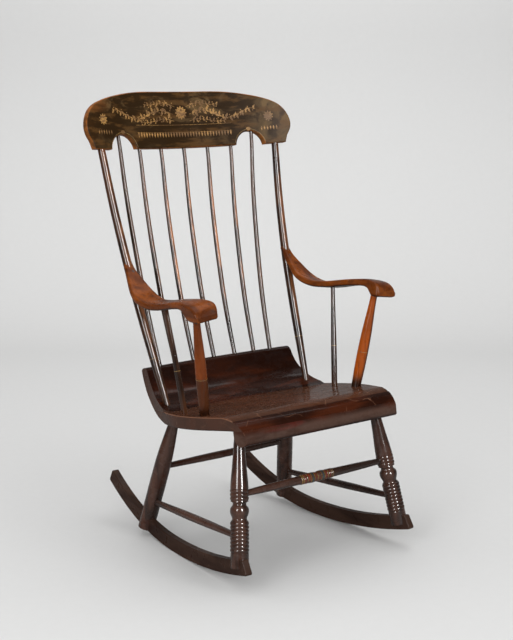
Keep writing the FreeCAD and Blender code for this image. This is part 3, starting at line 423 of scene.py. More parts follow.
def crest_paint(colours):
    """Smoky painted wood, with a pale painted reflection in clouds, and bare along the rim."""
    wood = WornWood("crest_paint", "X")
    across = wood.part(wood.place, "X")
    height = wood.part(wood.place, "Z")
    clouds = wood.noise(wood.stretched((0.7, 1.0, 1.3)), 15.0, 5.0, 0.6, 1.0)
    # Painted reflection: pale clouds, stronger towards the top and over the right end of the rail
    high = wood.between(height, 1.03, 1.09, 0.35, 1.0)
    lobe = wood.between(across, 0.19, 0.25, 0.0, 0.55)
    reflection_haze = wood.times(wood.between(clouds, 0.50, 0.68, 0.0, 0.85), high)
    reflection_haze = wood.maths("ADD", reflection_haze, wood.times(lobe, wood.between(clouds, 0.30, 0.55)), clamp=True)
    ground = wood.blend(reflection_haze, colours.crest_dark, colours.crest_pale_reflection)
    streaks = wood.noise(wood.stretched((0.12, 1.0, 1.0), (0.0, 0.05, 0.0)), 60.0, 4.0, 0.6)
    ground = wood.blend(wood.between(streaks, 0.48, 0.64, 0.0, 0.75), ground, colours.crest_streak)
    smoke = wood.between(wood.noise(wood.place, 26.0, 4.0, 0.6), 0.52, 0.66, 0.0, 0.85)
    ground = wood.blend(smoke, ground, colours.crest_dark)
    rim = wood.between(wood.reach(wood.normal, "Y"), 0.94, 0.78, 0.0, 0.95)
    corner = wood.times(wood.between(across, -0.22, -0.29, 0.0, 0.7),
                        wood.between(height, 1.070, 1.095))
    rubbed = wood.between(wood.noise(wood.stretched((0.5, 1.0, 1.5)), 42.0, 4.0, 0.6),
                          0.34, 0.58, 0.30, 1.0)
    worn = wood.times(wood.maths("MAXIMUM", rim, corner), rubbed)
    colour = wood.blend(worn, ground, colours.crest_rim)
    return wood.finish(colour, wood.between(clouds, 0.3, 0.7, 0.28, 0.44),
                       wood.relief(0.00003, 0.00005), coat=0.0, coat_rough=0.2, shine=0.09)


def stencil_gold(colours):
    """Bronze powder, rubbed through to the paint in places."""
    weave = Weave("stencil_gold")
    worn = weave.noise(weave.place, 150.0, 4.0, 0.6)
    broad = weave.noise(weave.place, 24.0, 3.0, 0.5)
    lost = weave.maths("ADD", weave.between(worn, 0.46, 0.64), weave.between(broad, 0.44, 0.64),
                       clamp=True)
    colour = weave.blend(weave.times(lost, 0.7), colours.gold, colours.turned_brown)
    return weave.finish(colour, weave.between(worn, 0.3, 0.7, 0.38, 0.6), coat_rough=0.3, shine=0.3)


def stripe_paint(colours):
    """Old yellow line paint with small losses."""
    weave = Weave("stripe_paint")
    worn = weave.noise(weave.place, 130.0, 5.0, 0.7)
    lost = weave.between(worn, 0.50, 0.62, 0.0, 0.85)
    colour = weave.blend(lost, colours.stripe, colours.turned_brown)
    return weave.finish(colour, 0.45, weave.bump(worn, 0.0001), coat=0.2, coat_rough=0.25)


def arm_varnish(colours):
    """Amber varnish over figured wood, with painted shade underneath, and stained in patches."""
    wood = WornWood("arm_varnish", "Y")
    colour = wood.blend(wood.between(wood.figure, 0.34, 0.66), colours.arm_amber,
                        colours.arm_brown)
    colour = wood.blend(wood.between(wood.grain, 0.50, 0.70, 0.0, 0.35), colour, colours.arm_brown)
    # Painted shade: faces that look down are darkened towards black
    below = wood.between(wood.part(wood.normal, "Z"), -0.15, -0.60, 0.0, 0.75)
    colour = wood.blend(below, colour, colours.turned_black)
    stains = wood.between(wood.noise(wood.place, 24.0, 4.0, 0.6), 0.58, 0.74, 0.0, 0.6)
    colour = wood.blend(stains, colour, colours.seat_black)
    return wood.worn_finish(colour, rough=(0.26, 0.40), relief=(0.00004, 0.0001), low=0.35,
                            coat=0.20, coat_rough=0.10, shine=0.12)


def support_paint(colours):
    """Arm posts: dark at the foot, orange above; the right one is orange on its left side as
    painted light and brown on its right side as painted shade.
    """
    wood = WornWood("support_paint", "Z")
    across = wood.part(wood.place, "X")
    height = wood.part(wood.place, "Z")
    brown = wood.blend(wood.between(wood.figure, 0.35, 0.65), colours.arm_brown,
                       colours.turned_brown)
    middle = wood.times(wood.between(height, 0.388, 0.430),
                        wood.between(height, 0.660, 0.600, 0.45, 1.0))
    # Painted light and shade: the right post's orange fades to brown on faces that look right
    lit = wood.between(wood.part(wood.normal, "X"), 0.40, -0.30, 0.05, 1.0)
    right = wood.times(middle, lit, wood.between(across, -0.01, 0.01))
    left = wood.times(wood.between(height, 0.471, 0.474),
                      wood.between(across, 0.01, -0.01, 0.0, 0.40))
    uneven = wood.between(wood.figure, 0.30, 0.60, 0.45, 1.0)
    swell = wood.times(wood.maths("ADD", right, left), uneven)
    colour = wood.blend(swell, brown, colours.support_orange)
    foot = wood.between(height, 0.412, 0.386, 0.0, 0.85)
    colour = wood.blend(foot, colour, colours.seat_black)
    colour = wood.blend(wood.between(wood.grain, 0.55, 0.7, 0.0, 0.4), colour, colours.arm_brown)
    return wood.worn_finish(colour, rough=(0.24, 0.36), relief=(0.00004, 0.00008), low=0.35,
                            coat=0.36, coat_rough=0.10, shine=0.12)


def turned_paint(name, colours, warmth, where):
    """Near-black gloss paint of the posts and spindles, rubbed brown, and orange on the side where
    the right lamp's highlight falls: rubbed wood with painted light.
    """
    wood = WornWood(name, "Z")
    worn = wood.between(wood.figure, 0.36, 0.64, 0.10, 0.9)
    colour = wood.blend(worn, colours.turned_black, colours.turned_brown)
    # Orange only on faces that look right and forward: rubbed wood with painted light where the
    # highlight falls
    side = wood.between(wood.facing((0.78, -0.62, 0.0)), -0.15, 0.45)
    broken = wood.between(wood.noise(wood.stretched((1.0, 1.0, 0.14)), 40.0, 3.0, 0.5),
                          0.38, 0.60, 0.15, 1.0)
    rubbed = wood.times(side, broken, warmth, where(wood))
    colour = wood.blend(rubbed, colour, colours.turned_warm_and_sheen)
    return wood.finish(colour, wood.between(wood.scuffs, 0.3, 0.7, 0.26, 0.36),
                       wood.bump(wood.grain, 0.00003), **ROD_GLOSS)


def rubbed_above(wood):
    """The outer rods are rubbed more towards the top."""
    return wood.between(wood.part(wood.place, "Z"), 0.45, 0.62, 0.35, 1.0)


def rubbed_middle(wood):
    """The spindles are rubbed in the middle of the back."""
    height = wood.part(wood.place, "Z")
    inner = wood.between(wood.reach(wood.place, "X"), 0.20, 0.09, 0.15, 1.0)
    return wood.times(wood.between(height, 0.52, 0.66),
                      wood.between(height, 0.93, 0.80, 0.25, 1.0), inner)


def post_paint(colours):
    return turned_paint("post_paint", colours, 0.45, rubbed_above)


def spindle_paint(colours):
    return turned_paint("spindle_paint", colours, 1.0, rubbed_middle)


def arm_spindle_paint(colours):
    return turned_paint("arm_spindle_paint", colours, 0.15, rubbed_above)


def seat_ground(wood, colours):
    """Red-brown seat paint combed with dark streaks across the chair."""
    black = colours.seat_black
    streak = wood.waves(wood.stretched((0.35, 5.0, 5.0)), 3.2, 7.0, 4.0)
    colour = wood.blend(wood.between(streak, 0.25, 0.85, 0.0, 0.8), colours.seat_red, black)
    colour = wood.blend(wood.between(wood.figure, 0.40, 0.70, 0.0, 0.8), colour, black)
    return wood.blend(wood.between(wood.grain, 0.54, 0.68, 0.0, 0.3), colour, black)


def pale_ends(wood, colour, colours):
    """Lighter wood on the sawn faces that look left and right."""
    ends = wood.between(wood.reach(wood.normal, "X"), 0.80, 0.95, 0.0, 0.65)
    return wood.blend(ends, colour, colours.seat_worn)


def fine_cracks(wood):
    """Thin broken cracks of old varnish, in wandering lines."""
    wander = wood.bent(wood.noise(wood.place, 16.0, 2.0, 0.5), 0.05)
    cracks = wood.between(wood.cell_edges(wander, 15.0), 0.014, 0.004)
    broken = wood.between(wood.noise(wood.place, 21.0, 2.0, 0.5), 0.48, 0.60)
    return wood.times(cracks, broken)


def seat_paint(colours):
    """The plank: scratched and cracked, lighter in its flat middle with painted sheen and wear,
    worn towards the front edge, and pale along its rounded side edges with wear and a painted
    highlight.
    """
    wood = WornWood("seat_paint", "X")
    colour = seat_ground(wood, colours)
    up = wood.part(wood.normal, "Z")
    front = wood.between(wood.part(wood.normal, "Y"), -0.55, -0.95, 0.0, 0.12)
    patches = wood.between(wood.noise(wood.stretched((0.6, 1.0, 1.6)), 20.0, 5.0, 0.6), 0.38, 0.62)
    colour = wood.blend(wood.times(front, patches), colour, colours.seat_worn)
    # Painted sheen and wear: flat faces that look up are lighter
    flat = wood.between(up, 0.93, 0.975, 0.0, 0.42)
    worn = wood.times(flat, wood.between(wood.scuffs, 0.30, 0.70, 0.75, 1.0))
    colour = wood.blend(worn, colour, colours.seat_middle_sheen_and_wear)
    thin = wood.noise(wood.drawn_out("X", 0.018, (0.0, 0.0, 0.12)), 330.0, 2.0, 0.5)
    scratches = wood.times(wood.between(thin, 0.66, 0.71), 0.30)
    colour = wood.blend(scratches, colour, colours.seat_worn)
    colour = wood.blend(wood.times(fine_cracks(wood), 0.55), colour, colours.seat_cracks_and_edge_highlight)
    # Pale line along the rounded side edges: wear and a painted highlight
    rim = wood.times(wood.between(up, 0.20, 0.50), wood.between(up, 0.94, 0.80),
                     wood.between(wood.reach(wood.normal, "X"), 0.15, 0.35, 0.0, 0.8))
    colour = wood.blend(rim, colour, colours.seat_cracks_and_edge_highlight)
    colour = pale_ends(wood, colour, colours)
    waviness = wood.noise(wood.stretched((0.35, 1.0, 1.0)), 26.0, 2.0, 0.4)
    normal = wood.bump(wood.scuffs, 0.00003, wood.bump(waviness, 0.00014))
    return wood.finish(colour, wood.between(wood.scuffs, 0.3, 0.7, 0.18, 0.30),
                       wood.bump(scratches, 0.00006, normal),
                       coat=0.16, coat_rough=0.07, shine=0.04)


def seat_edge_paint(colours):
    """The rolled front strip, rubbed lighter in patches."""
    wood = WornWood("seat_edge_paint", "X")
    colour = seat_ground(wood, colours)
    across = wood.part(wood.place, "X")
    depth = wood.part(wood.place, "Y")
    height = wood.part(wood.place, "Z")
    patches = wood.between(wood.noise(wood.stretched((0.45, 1.0, 1.6)), 22.0, 5.0, 0.62),
                           0.34, 0.60, 0.45, 1.0)
    worn = wood.times(patches, wood.between(wood.part(wood.normal, "Z"), -0.75, -0.2),
                      wood.between(height, EDGE_TOP, EDGE_TOP - 0.014, 0.15, 1.0))
    colour = wood.blend(worn, colour, colours.seat_worn)
    smear = wood.times(wood.between(across, -0.20, -0.13), wood.between(across, 0.02, -0.05),
                       wood.between(height, EDGE_TOP - 0.016, EDGE_TOP - 0.004),
                       wood.between(wood.figure, 0.35, 0.60, 0.0, 0.5))
    colour = wood.blend(smear, colour, colours.seat_smear)
    flare = wood.times(wood.maths("SUBTRACT", depth, EDGE_FRONT), EDGE_FLARE)
    side = wood.maths("SUBTRACT", wood.reach(wood.place, "X"), flare)
    # Pale line near the strip's ends: wear and a painted highlight
    rim = wood.times(wood.between(side, EDGE_HALF - 0.0035, EDGE_HALF - 0.0015),
                     wood.between(wood.reach(wood.normal, "X"), 0.7, 0.5), 0.8)
    colour = wood.blend(rim, colour, colours.seat_cracks_and_edge_highlight)
    return wood.worn_finish(colour, rough=(0.20, 0.38), relief=(0.00003, 0.00005),
                            coat=0.20, coat_rough=0.10, shine=0.08)


def riser_paint(colours):
    """The swept-up rear block, darker than the plank."""
    wood = WornWood("riser_paint", "X")
    deep = wood.between(wood.part(wood.place, "Z"), 0.365, 0.420, 0.1, 0.6)
    colour = wood.blend(deep, seat_ground(wood, colours), colours.seat_black)
    return wood.worn_finish(pale_ends(wood, colour, colours), rough=(0.18, 0.32),
                            relief=(0.00003, 0.00003), coat=0.20, coat_rough=0.10, shine=0.10)


def leg_paint(name, colours, along="Z"):
    """Dark brown paint of the legs and stretchers, warmer where it is worn."""
    wood = WornWood(name, along)
    worn = wood.between(wood.figure, 0.36, 0.68, 0.0, 0.9)
    colour = wood.blend(worn, colours.leg_dark, colours.leg_brown)
    red = wood.between(wood.noise(wood.place, 17.0, 4.0, 0.55), 0.52, 0.68, 0.0, 0.6)
    colour = wood.blend(red, colour, colours.seat_red)
    chips = wood.between(wood.scuffs, 0.64, 0.71, 0.0, 0.6)
    colour = wood.blend(chips, colour, colours.seat_worn)
    return wood.worn_finish(colour, rough=(0.18, 0.36), relief=(0.00003, 0.00004), **LEG_GLOSS)


def show_stretcher_paint(colours):
    """The front stretcher, with bronze, red and blue-green bands on its beads."""
    wood = WornWood("show_stretcher_paint", "X")
    dark = colours.leg_dark
    red = colours.band_red
    teal = colours.band_teal
    gold = tuple(value * 0.62 for value in colours.gold)
    ground = wood.blend(wood.between(wood.figure, 0.35, 0.7), dark, colours.leg_brown)
    away = wood.reach(wood.place, "X")
    # Bands from the middle outwards, in shares of one eighteenth of a metre
    bands = wood.bands(wood.times(away, 18.0), [
        (0.000, dark), (0.020, gold), (0.050, dark), (0.090, red), (0.150, dark), (0.190, gold),
        (0.225, dark), (0.260, teal), (0.300, teal), (0.335, dark), (0.375, gold), (0.415, dark),
        (0.450, red), (0.500, red), (0.535, dark), (0.570, gold), (0.610, dark), (0.690, red),
        (0.730, dark), (0.775, gold), (0.815, dark), (0.870, gold), (0.910, dark),
    ])
    middle = wood.between(away, 0.0535, 0.0515)
    rubbed = wood.between(wood.noise(wood.place, 90.0, 5.0, 0.7), 0.62, 0.44, 0.25, 0.95)
    colour = wood.blend(wood.times(middle, rubbed), ground, bands)
    return wood.worn_finish(colour, rough=(0.20, 0.36), relief=(0.00003, 0.00004), **LEG_GLOSS)


def rocker_paint(colours):
    """Scuffed paint of the runners, worn to wood along the lower edge."""
    wood = WornWood("rocker_paint", "Y")
    colour = wood.blend(wood.between(wood.figure, 0.34, 0.70), colours.rocker_brown,
                        colours.leg_dark)
    bare = wood.times(wood.between(wood.part(wood.normal, "Z"), -0.55, -0.9),
                      wood.between(wood.scuffs, 0.40, 0.58, 0.2, 1.0))
    colour = wood.blend(bare, colour, colours.rocker_sole)
    chips = wood.between(wood.noise(wood.place, 60.0, 6.0, 0.75), 0.62, 0.70, 0.0, 0.7)
    colour = wood.blend(chips, colour, colours.seat_worn)
    return wood.worn_finish(colour, rough=(0.26, 0.46), relief=(0.00006, 0.00007),
                            coat=0.08, coat_rough=0.15, shine=0.05)


def peg_wood(colours):
    """End grain of the small wooden pegs."""
    weave = Weave("peg_wood")
    rings = weave.waves(weave.place, 90.0, 3.0)
    colour = weave.blend(rings, colours.peg_end, colours.leg_dark)
    return weave.finish(colour, 0.4, weave.bump(rings, 0.0002), coat=0.2, coat_rough=0.25)


def dress(names, material):
    """Gives CAD nodes a material without touching their shape."""
    for name in names:
        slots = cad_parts[name].data.materials
        slots.clear()
        slots.append(material)


# Meshes and Geometry Nodes trees

def mesh_object(name, points, edges=(), faces=()):
    mesh = bpy.data.meshes.new(name)
    mesh.from_pydata([tuple(point) for point in points], list(edges), list(faces))
    mesh.update()
    made = bpy.data.objects.new(name, mesh)
    bpy.context.scene.collection.objects.link(made)
    return made


def new_tree(name, inputs):
    """An empty geometry tree, and its geometry and named inputs."""
    tree = bpy.data.node_groups.new(name, "GeometryNodeTree")
    tree.interface.new_socket("Geometry", in_out="INPUT", socket_type="NodeSocketGeometry")
    for label, kind in inputs:
        tree.interface.new_socket(label, in_out="INPUT", socket_type=kind)
    tree.interface.new_socket("Geometry", in_out="OUTPUT", socket_type="NodeSocketGeometry")
    return tree, tree.nodes.new("NodeGroupInput").outputs


def close_tree(tree, start, geometry):
    """Ends a tree with real geometry in the material of its input."""
    real = add_node(tree, "GeometryNodeRealizeInstances", {0: geometry})
    paint = add_node(tree, "GeometryNodeSetMaterial", {
        "Geometry": real.outputs[0], "Material": start["Material"]})
    add_node(tree, "NodeGroupOutput", {0: paint.outputs[0]})
    return tree


def scatter_tree():
    """Sets a flat shape on every point, by the point's own turn and size."""
    tree, start = new_tree("stencil_scatter", [
        ("Shape", "NodeSocketObject"), ("Length", "NodeSocketFloat"),
        ("Material", "NodeSocketMaterial")])
    shape = add_node(tree, "GeometryNodeObjectInfo", {"Object": start["Shape"]})
    turn = add_node(tree, "GeometryNodeInputNamedAttribute", {"Name": "turn"},
                    data_type="FLOAT_VECTOR")
    size = add_node(tree, "GeometryNodeInputNamedAttribute", {"Name": "size"}, data_type="FLOAT")
    scaled = add_node(tree, "ShaderNodeMath", {
        0: size.outputs["Attribute"], 1: start["Length"]}, operation="MULTIPLY")
    rotate = add_node(tree, "FunctionNodeEulerToRotation", {0: turn.outputs["Attribute"]})
    place = add_node(tree, "GeometryNodeInstanceOnPoints", {
        "Points": start["Geometry"], "Instance": shape.outputs["Geometry"],
        "Rotation": rotate.outputs[0], "Scale": scaled.outputs[0]})
    return close_tree(tree, start, place.outputs["Instances"])


def line_tree():
    """Draws a fine round bead of paint along every edge path."""
    tree, start = new_tree("painted_line", [
        ("Radius", "NodeSocketFloat"), ("Material", "NodeSocketMaterial")])
    curve = add_node(tree, "GeometryNodeMeshToCurve", {"Mesh": start["Geometry"]})
    circle = add_node(tree, "GeometryNodeCurvePrimitiveCircle", {
        "Resolution": BEAD_SIDES, "Radius": start["Radius"]})
    sweep = add_node(tree, "GeometryNodeCurveToMesh", {
        "Curve": curve.outputs["Curve"], "Profile Curve": circle.outputs["Curve"],
        "Fill Caps": True})
    return close_tree(tree, start, sweep.outputs["Mesh"])


def grown(seed, tree, values, name):
    """Runs a geometry tree on a seed object and keeps only the plain mesh."""
    modifier = seed.modifiers.new("grow", "NODES")
    modifier.node_group = tree
    for item in tree.interface.items_tree:
        if item.in_out == "INPUT" and item.name in values:
            modifier[item.identifier] = values[item.name]
    bpy.context.view_layer.update()
    evaluated = seed.evaluated_get(bpy.context.evaluated_depsgraph_get())
    mesh = bpy.data.meshes.new_from_object(evaluated)
    mesh.name = name
    made = bpy.data.objects.new(name, mesh)
    bpy.context.scene.collection.objects.link(made)
    bpy.data.objects.remove(seed)
    return made


def ride_root(made):
    """Lets a finished piece move with the chair."""
    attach(made, "root")


# The stencil on the crest rail

def crest_front(across, up, lift):
    """A point on the bowed front face and the way that face looks."""
    ring = CREST_BOW - CREST_THICKNESS / 2 - lift
    turn = across / ring
    local = Vector((ring * math.sin(turn), ring * math.cos(turn) - CREST_BOW, up))
    out = Vector((-math.sin(turn), -math.cos(turn), 0.0))
    lean = Matrix.Rotation(-CREST_LEAN, 3, "X")
    return CREST_BASE + lean @ local, lean @ out


def stencil_seed(name, marks):
    """A point for each stencilled mark, with its turn and size."""
    seed = mesh_object(name, [place for place, turn, size in marks])
    seed.data.attributes.new("turn", "FLOAT_VECTOR", "POINT")
    seed.data.attributes.new("size", "FLOAT", "POINT")
    turns = seed.data.attributes["turn"].data
    sizes = seed.data.attributes["size"].data
    for index, (place, turn, size) in enumerate(marks):
        turns[index].vector = turn
        sizes[index].value = size
    return seed


def mark(across, up, angle, size, lift):
    """A stencilled mark that points up the rail at angle 0 and leans by the angle."""
    place, out = crest_front(across, up, lift)
    side = (crest_front(across + 0.001, up, lift)[0] - place).normalized()
    above = side.cross(out)
    along = above * math.cos(angle) + side * math.sin(angle)
    wide = along.cross(out)
    turn = Matrix((wide, along, out)).transposed().to_euler()
    return place, turn, size


def leaf_shape():
    """A pointed leaf of unit length with an open vein."""
    outline = [(0.0, 0.0), (0.10, 0.10), (0.19, 0.28), (0.215, 0.45), (0.17, 0.66), (0.09, 0.85),
               (0.0, 1.0)]
    points = [(x, y, 0.0) for x, y in outline]
    points += [(-x, y, 0.0) for x, y in reversed(outline[1:-1])]
    vein = [(0.025, 0.12, 0.0), (0.018, 0.80, 0.0), (-0.018, 0.80, 0.0), (-0.025, 0.12, 0.0)]
    right = [0, 1, 2, 3, 4, 5, 13, 12]
    left = [0, 15, 14, 7, 8, 9, 10, 11]
    tip = [5, 6, 7, 14, 13]
    return mesh_object("leaf_shape", points + vein, faces=[right, left, tip])


def dart_shape():
    """A slim lozenge of unit length."""
    points = [(0.0, 0.0, 0.0), (0.17, 0.42, 0.0), (0.0, 1.0, 0.0), (-0.17, 0.42, 0.0)]
    return mesh_object("dart_shape", points, faces=[[0, 1, 2, 3]])


def berry_shape():
    """A small round spot."""
    turns = [2 * math.pi * index / BERRY_SIDES for index in range(BERRY_SIDES)]
    points = [(0.5 * math.cos(turn), 0.5 * math.sin(turn), 0.0) for turn in turns]
    return mesh_object("berry_shape", points, faces=[list(range(BERRY_SIDES))])


def spray_path(side, start, reach, rise, swing, turns):
    """A leafy stem that waves outwards from the middle of the rail."""
    path = []
    for index in range(STEM_STEPS + 1):
        share = index / STEM_STEPS
        across = side * (start[0] + reach * share)
        up = start[1] + rise * share + swing * math.sin(turns * math.pi * share)
        path.append((across, up))
    return path


def spray_marks(path, first, last, lift):
    """Leaves on both sides of a stem, getting smaller towards its tip."""
    leaves, berries = [], []
    travelled = 0.0
    due = LEAF_SPACING
    flip = 1
    for (x0, z0), (x1, z1) in zip(path, path[1:]):
        travelled += math.hypot(x1 - x0, z1 - z0)
        if travelled < due:
            continue
        due += LEAF_SPACING
        share = abs(x1 - path[0][0]) / abs(path[-1][0] - path[0][0])
        heading = math.atan2(x1 - x0, z1 - z0)
        size = first + (last - first) * share
        leaves.append(mark(x1, z1, heading + flip * LEAF_LEAN, size, lift))
        leaves.append(mark(x1, z1, heading - flip * SMALL_LEAF_LEAN, size * SMALL_LEAF_SHARE,
                           lift))
        berries.append(mark(x1 + BERRY_OFFSET * flip * math.cos(heading),
                            z1 - BERRY_OFFSET * flip * math.sin(heading), 0.0, BERRY_SIZE, lift))
        flip = -flip
    return leaves, berries


def rosette_marks(across, rosette, lift):
    """The petals of a rosette and the spot in its middle."""
    up, count, size, spot = rosette
    petals = [mark(across, up, 2 * math.pi * index / count, size, lift)
              for index in range(count)]
    return petals, [mark(across, up, 0.0, spot, lift + SPOT_LIFT)]


def stencil_layout(lift):
    """Every leaf, petal, dart and berry of the rail, mirrored about its middle."""
    leaves, darts = [], []
    petals, berries = rosette_marks(0.0, MIDDLE_ROSETTE, lift)
    for side in (-1, 1):
        for *stem, first, last in SPRAYS:
            found, spots = spray_marks(spray_path(side, *stem), first, last, lift)
            leaves += found
            berries += spots
        found, spots = rosette_marks(side * LOBE_ROSETTE_ACROSS, LOBE_ROSETTE, lift)
        petals += found
        berries += spots
        arch_middle = (ARCH_INNER + ARCH_OUTER) / 2
        leaves += [mark(side * arch_middle, ARCH_RISE + FAN_RISE, angle, FAN_LEAF_SIZE, lift)
                   for angle in FAN_ANGLES]
        for count, first, up, size in DART_ROWS:
            darts += [mark(side * (first + DART_SPACING * index), up, 0.0, size, lift)
                      for index in range(count)]
    return leaves, petals, darts, berries


def stem_paths():
    """The same stems as the leaves, and the two lines that hold the band of darts."""
    paths = []
    for side in (-1, 1):
        for *stem, first, last in SPRAYS:
            paths.append(spray_path(side, *stem))
        for up in BORDER_HEIGHTS:
            paths.append([(side * BORDER_STEP * index, up) for index in range(BORDER_STEPS + 1)])
    return paths


def edging_paths():
    """Lines that follow the two arches in the rail's lower edge."""
    start = ARCH_INNER - EDGING_INSET
    width = ARCH_OUTER - ARCH_INNER + 2 * EDGING_INSET
    places = [start + width * index / EDGING_STEPS for index in range(EDGING_STEPS + 1)]
    return [[(side * across, edging_height(across)) for across in places] for side in (-1, 1)]


def edging_height(across):
    """Height of a line that keeps its distance from an arch."""
    middle = (ARCH_INNER + ARCH_OUTER) / 2
    half = (ARCH_OUTER - ARCH_INNER) / 2
    radius = (half * half + ARCH_RISE * ARCH_RISE) / (2 * ARCH_RISE)
    low = ARCH_RISE - radius
    outer = radius + EDGING_INSET
    reach = min(abs(across - middle), outer)
    return max(low + math.sqrt(outer * outer - reach * reach), EDGING_INSET)


def crest_lines(name, paths, sink):
    """Edge paths on the rail's front face, sunk so that only their crown shows."""
    points, edges = [], []
    for path in paths:
        first = len(points)
        points += [crest_front(across, up, -sink)[0] for across, up in path]
        edges += [(index, index + 1) for index in range(first, len(points) - 1)]
    return mesh_object(name, points, edges)


# The painted rings

def rod_section(name, height):
    """Centre and radius of a round CAD piece at a height, read from its mesh."""
    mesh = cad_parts[name].data
    points = []
    for edge in mesh.edges:
        low = mesh.vertices[edge.vertices[0]].co
        high = mesh.vertices[edge.vertices[1]].co
        if (low.z - height) * (high.z - height) < 0:
            share = (height - low.z) / (high.z - low.z)
            points.append(low.lerp(high, share))
    left, right = min(p.x for p in points), max(p.x for p in points)
    front, back = min(p.y for p in points), max(p.y for p in points)
    return Vector(((left + right) / 2, (front + back) / 2, height)), (right - left) / 2


def ring_loop(name, height, rise, thickness):
    """A closed loop of points round a rod, square to its length."""
    centre, wide = rod_section(name, height)
    above = rod_section(name, height + RING_PROBE)[0]
    below = rod_section(name, height - RING_PROBE)[0]
    way = (above - below).normalized()
    radius = wide * math.sqrt(max(1 - way.x * way.x, 0.0)) + rise - thickness
    side = way.cross(Vector((0.0, 1.0, 0.0))).normalized()
    front = way.cross(side)
    turns = [2 * math.pi * index / RING_STEPS for index in range(RING_STEPS)]
    return [centre + side * (radius * math.cos(turn)) + front * (radius * math.sin(turn))
            for turn in turns]


def ring_seed(rise, thickness):
    """A closed loop for every ring."""
    points, edges = [], []
    for names, height in RING_HEIGHTS:
        for name in names:
            first = len(points)
            points += ring_loop(name, height, rise, thickness)
            edges += [(first + index, first + (index + 1) % RING_STEPS)
                      for index in range(RING_STEPS)]
    return mesh_object("ring_seed", points, edges)


# Operators, one for each piece or group of like pieces

class DressCrestRail(bpy.types.Operator):
    """Paints the crest rail"""
    bl_idname = "rocker.dress_crest_rail"
    bl_label = "Paint Crest Rail"

    def execute(self, context):
        dress(["crest_rail"], crest_paint(context.scene.rocker_colours))
        return {"FINISHED"}


class StencilCrestRail(bpy.types.Operator):
    """Stencils leaves, rosettes and a border of darts on the crest rail"""
    bl_idname = "rocker.stencil_crest_rail"
    bl_label = "Stencil Crest Rail"

    def execute(self, context):
        colours = context.scene.rocker_colours
        ornament = context.scene.rocker_ornament
        gold = stencil_gold(colours)
        scatter = scatter_tree()
        leaves, petals, darts, berries = stencil_layout(ornament.paint_lift)
        for name, marks, make_shape, length in (
                ("stencil_leaves", leaves, leaf_shape, ornament.leaf),
                ("stencil_petals", petals, leaf_shape, ornament.petal),
                ("stencil_darts", darts, dart_shape, ornament.dart),
                ("stencil_berries", berries, berry_shape, ornament.petal)):
            shape = make_shape()
            made = grown(stencil_seed(name + "_seed", marks), scatter,
                         {"Shape": shape, "Length": length, "Material": gold}, name)
            bpy.data.objects.remove(shape)
            ride_root(made)
        lines = line_tree()
        sink = ornament.line_radius - ornament.line_rise
        for name, paths, paint in (("stencil_stems", stem_paths(), gold),
                                   ("crest_edging", edging_paths(), stripe_paint(colours))):
            made = grown(crest_lines(name + "_seed", paths, sink), lines,
                         {"Radius": ornament.line_radius, "Material": paint}, name)
            ride_root(made)
        return {"FINISHED"}


class DressBack(bpy.types.Operator):
    """Paints the back posts and the spindles"""
    bl_idname = "rocker.dress_back"
    bl_label = "Paint Back"

    def execute(self, context):
        colours = context.scene.rocker_colours
        dress(UPRIGHTS, post_paint(colours))
        dress(SPINDLES, spindle_paint(colours))
        return {"FINISHED"}


class DressArms(bpy.types.Operator):
    """Varnishes the arms"""
    bl_idname = "rocker.dress_arms"
    bl_label = "Varnish Arms"

    def execute(self, context):
        dress(ARMS, arm_varnish(context.scene.rocker_colours))
        return {"FINISHED"}


class DressArmSupports(bpy.types.Operator):
    """Paints the arm posts and arm spindles"""
    bl_idname = "rocker.dress_arm_supports"
    bl_label = "Paint Arm Supports"

    def execute(self, context):
        colours = context.scene.rocker_colours
        dress(ARM_POSTS, support_paint(colours))
        dress(ARM_SPINDLES, arm_spindle_paint(colours))
        return {"FINISHED"}


class PaintRings(bpy.types.Operator):
    """Draws the yellow rings on the posts and arm supports"""
    bl_idname = "rocker.paint_rings"
    bl_label = "Paint Rings"

    def execute(self, context):
        ornament = context.scene.rocker_ornament
        made = grown(ring_seed(ornament.line_rise, ornament.ring_radius), line_tree(), {
            "Radius": ornament.ring_radius,
            "Material": stripe_paint(context.scene.rocker_colours)}, "gold_rings")
        ride_root(made)
        return {"FINISHED"}


class DressSeat(bpy.types.Operator):
    """Paints the seat's three boards"""
    bl_idname = "rocker.dress_seat"
    bl_label = "Paint Seat"

    def execute(self, context):
        colours = context.scene.rocker_colours
        dress(["seat_board"], seat_paint(colours))
        dress(["seat_front_roll"], seat_edge_paint(colours))
        dress(["seat_rear_riser"], riser_paint(colours))
        return {"FINISHED"}


class DressLegs(bpy.types.Operator):
    """Paints the legs"""
    bl_idname = "rocker.dress_legs"
    bl_label = "Paint Legs"

    def execute(self, context):
        dress(LEGS, leg_paint("leg_paint", context.scene.rocker_colours))
        return {"FINISHED"}


class DressStretchers(bpy.types.Operator):
    """Paints the stretchers and the bands of the front one"""
    bl_idname = "rocker.dress_stretchers"
    bl_label = "Paint Stretchers"

    def execute(self, context):
        colours = context.scene.rocker_colours
        dress(["front_stretcher"], show_stretcher_paint(colours))
        dress(["rear_stretcher"], leg_paint("rear_stretcher_paint", colours, "X"))
        dress(SIDE_STRETCHERS, leg_paint("side_stretcher_paint", colours, "Y"))
        return {"FINISHED"}


class DressRockers(bpy.types.Operator):
    """Paints the rockers and the pegs"""
    bl_idname = "rocker.dress_rockers"
    bl_label = "Paint Rockers"

    def execute(self, context):
        colours = context.scene.rocker_colours
        dress(ROCKERS, rocker_paint(colours))
        dress(PEGS, peg_wood(colours))
        return {"FINISHED"}


# The studio

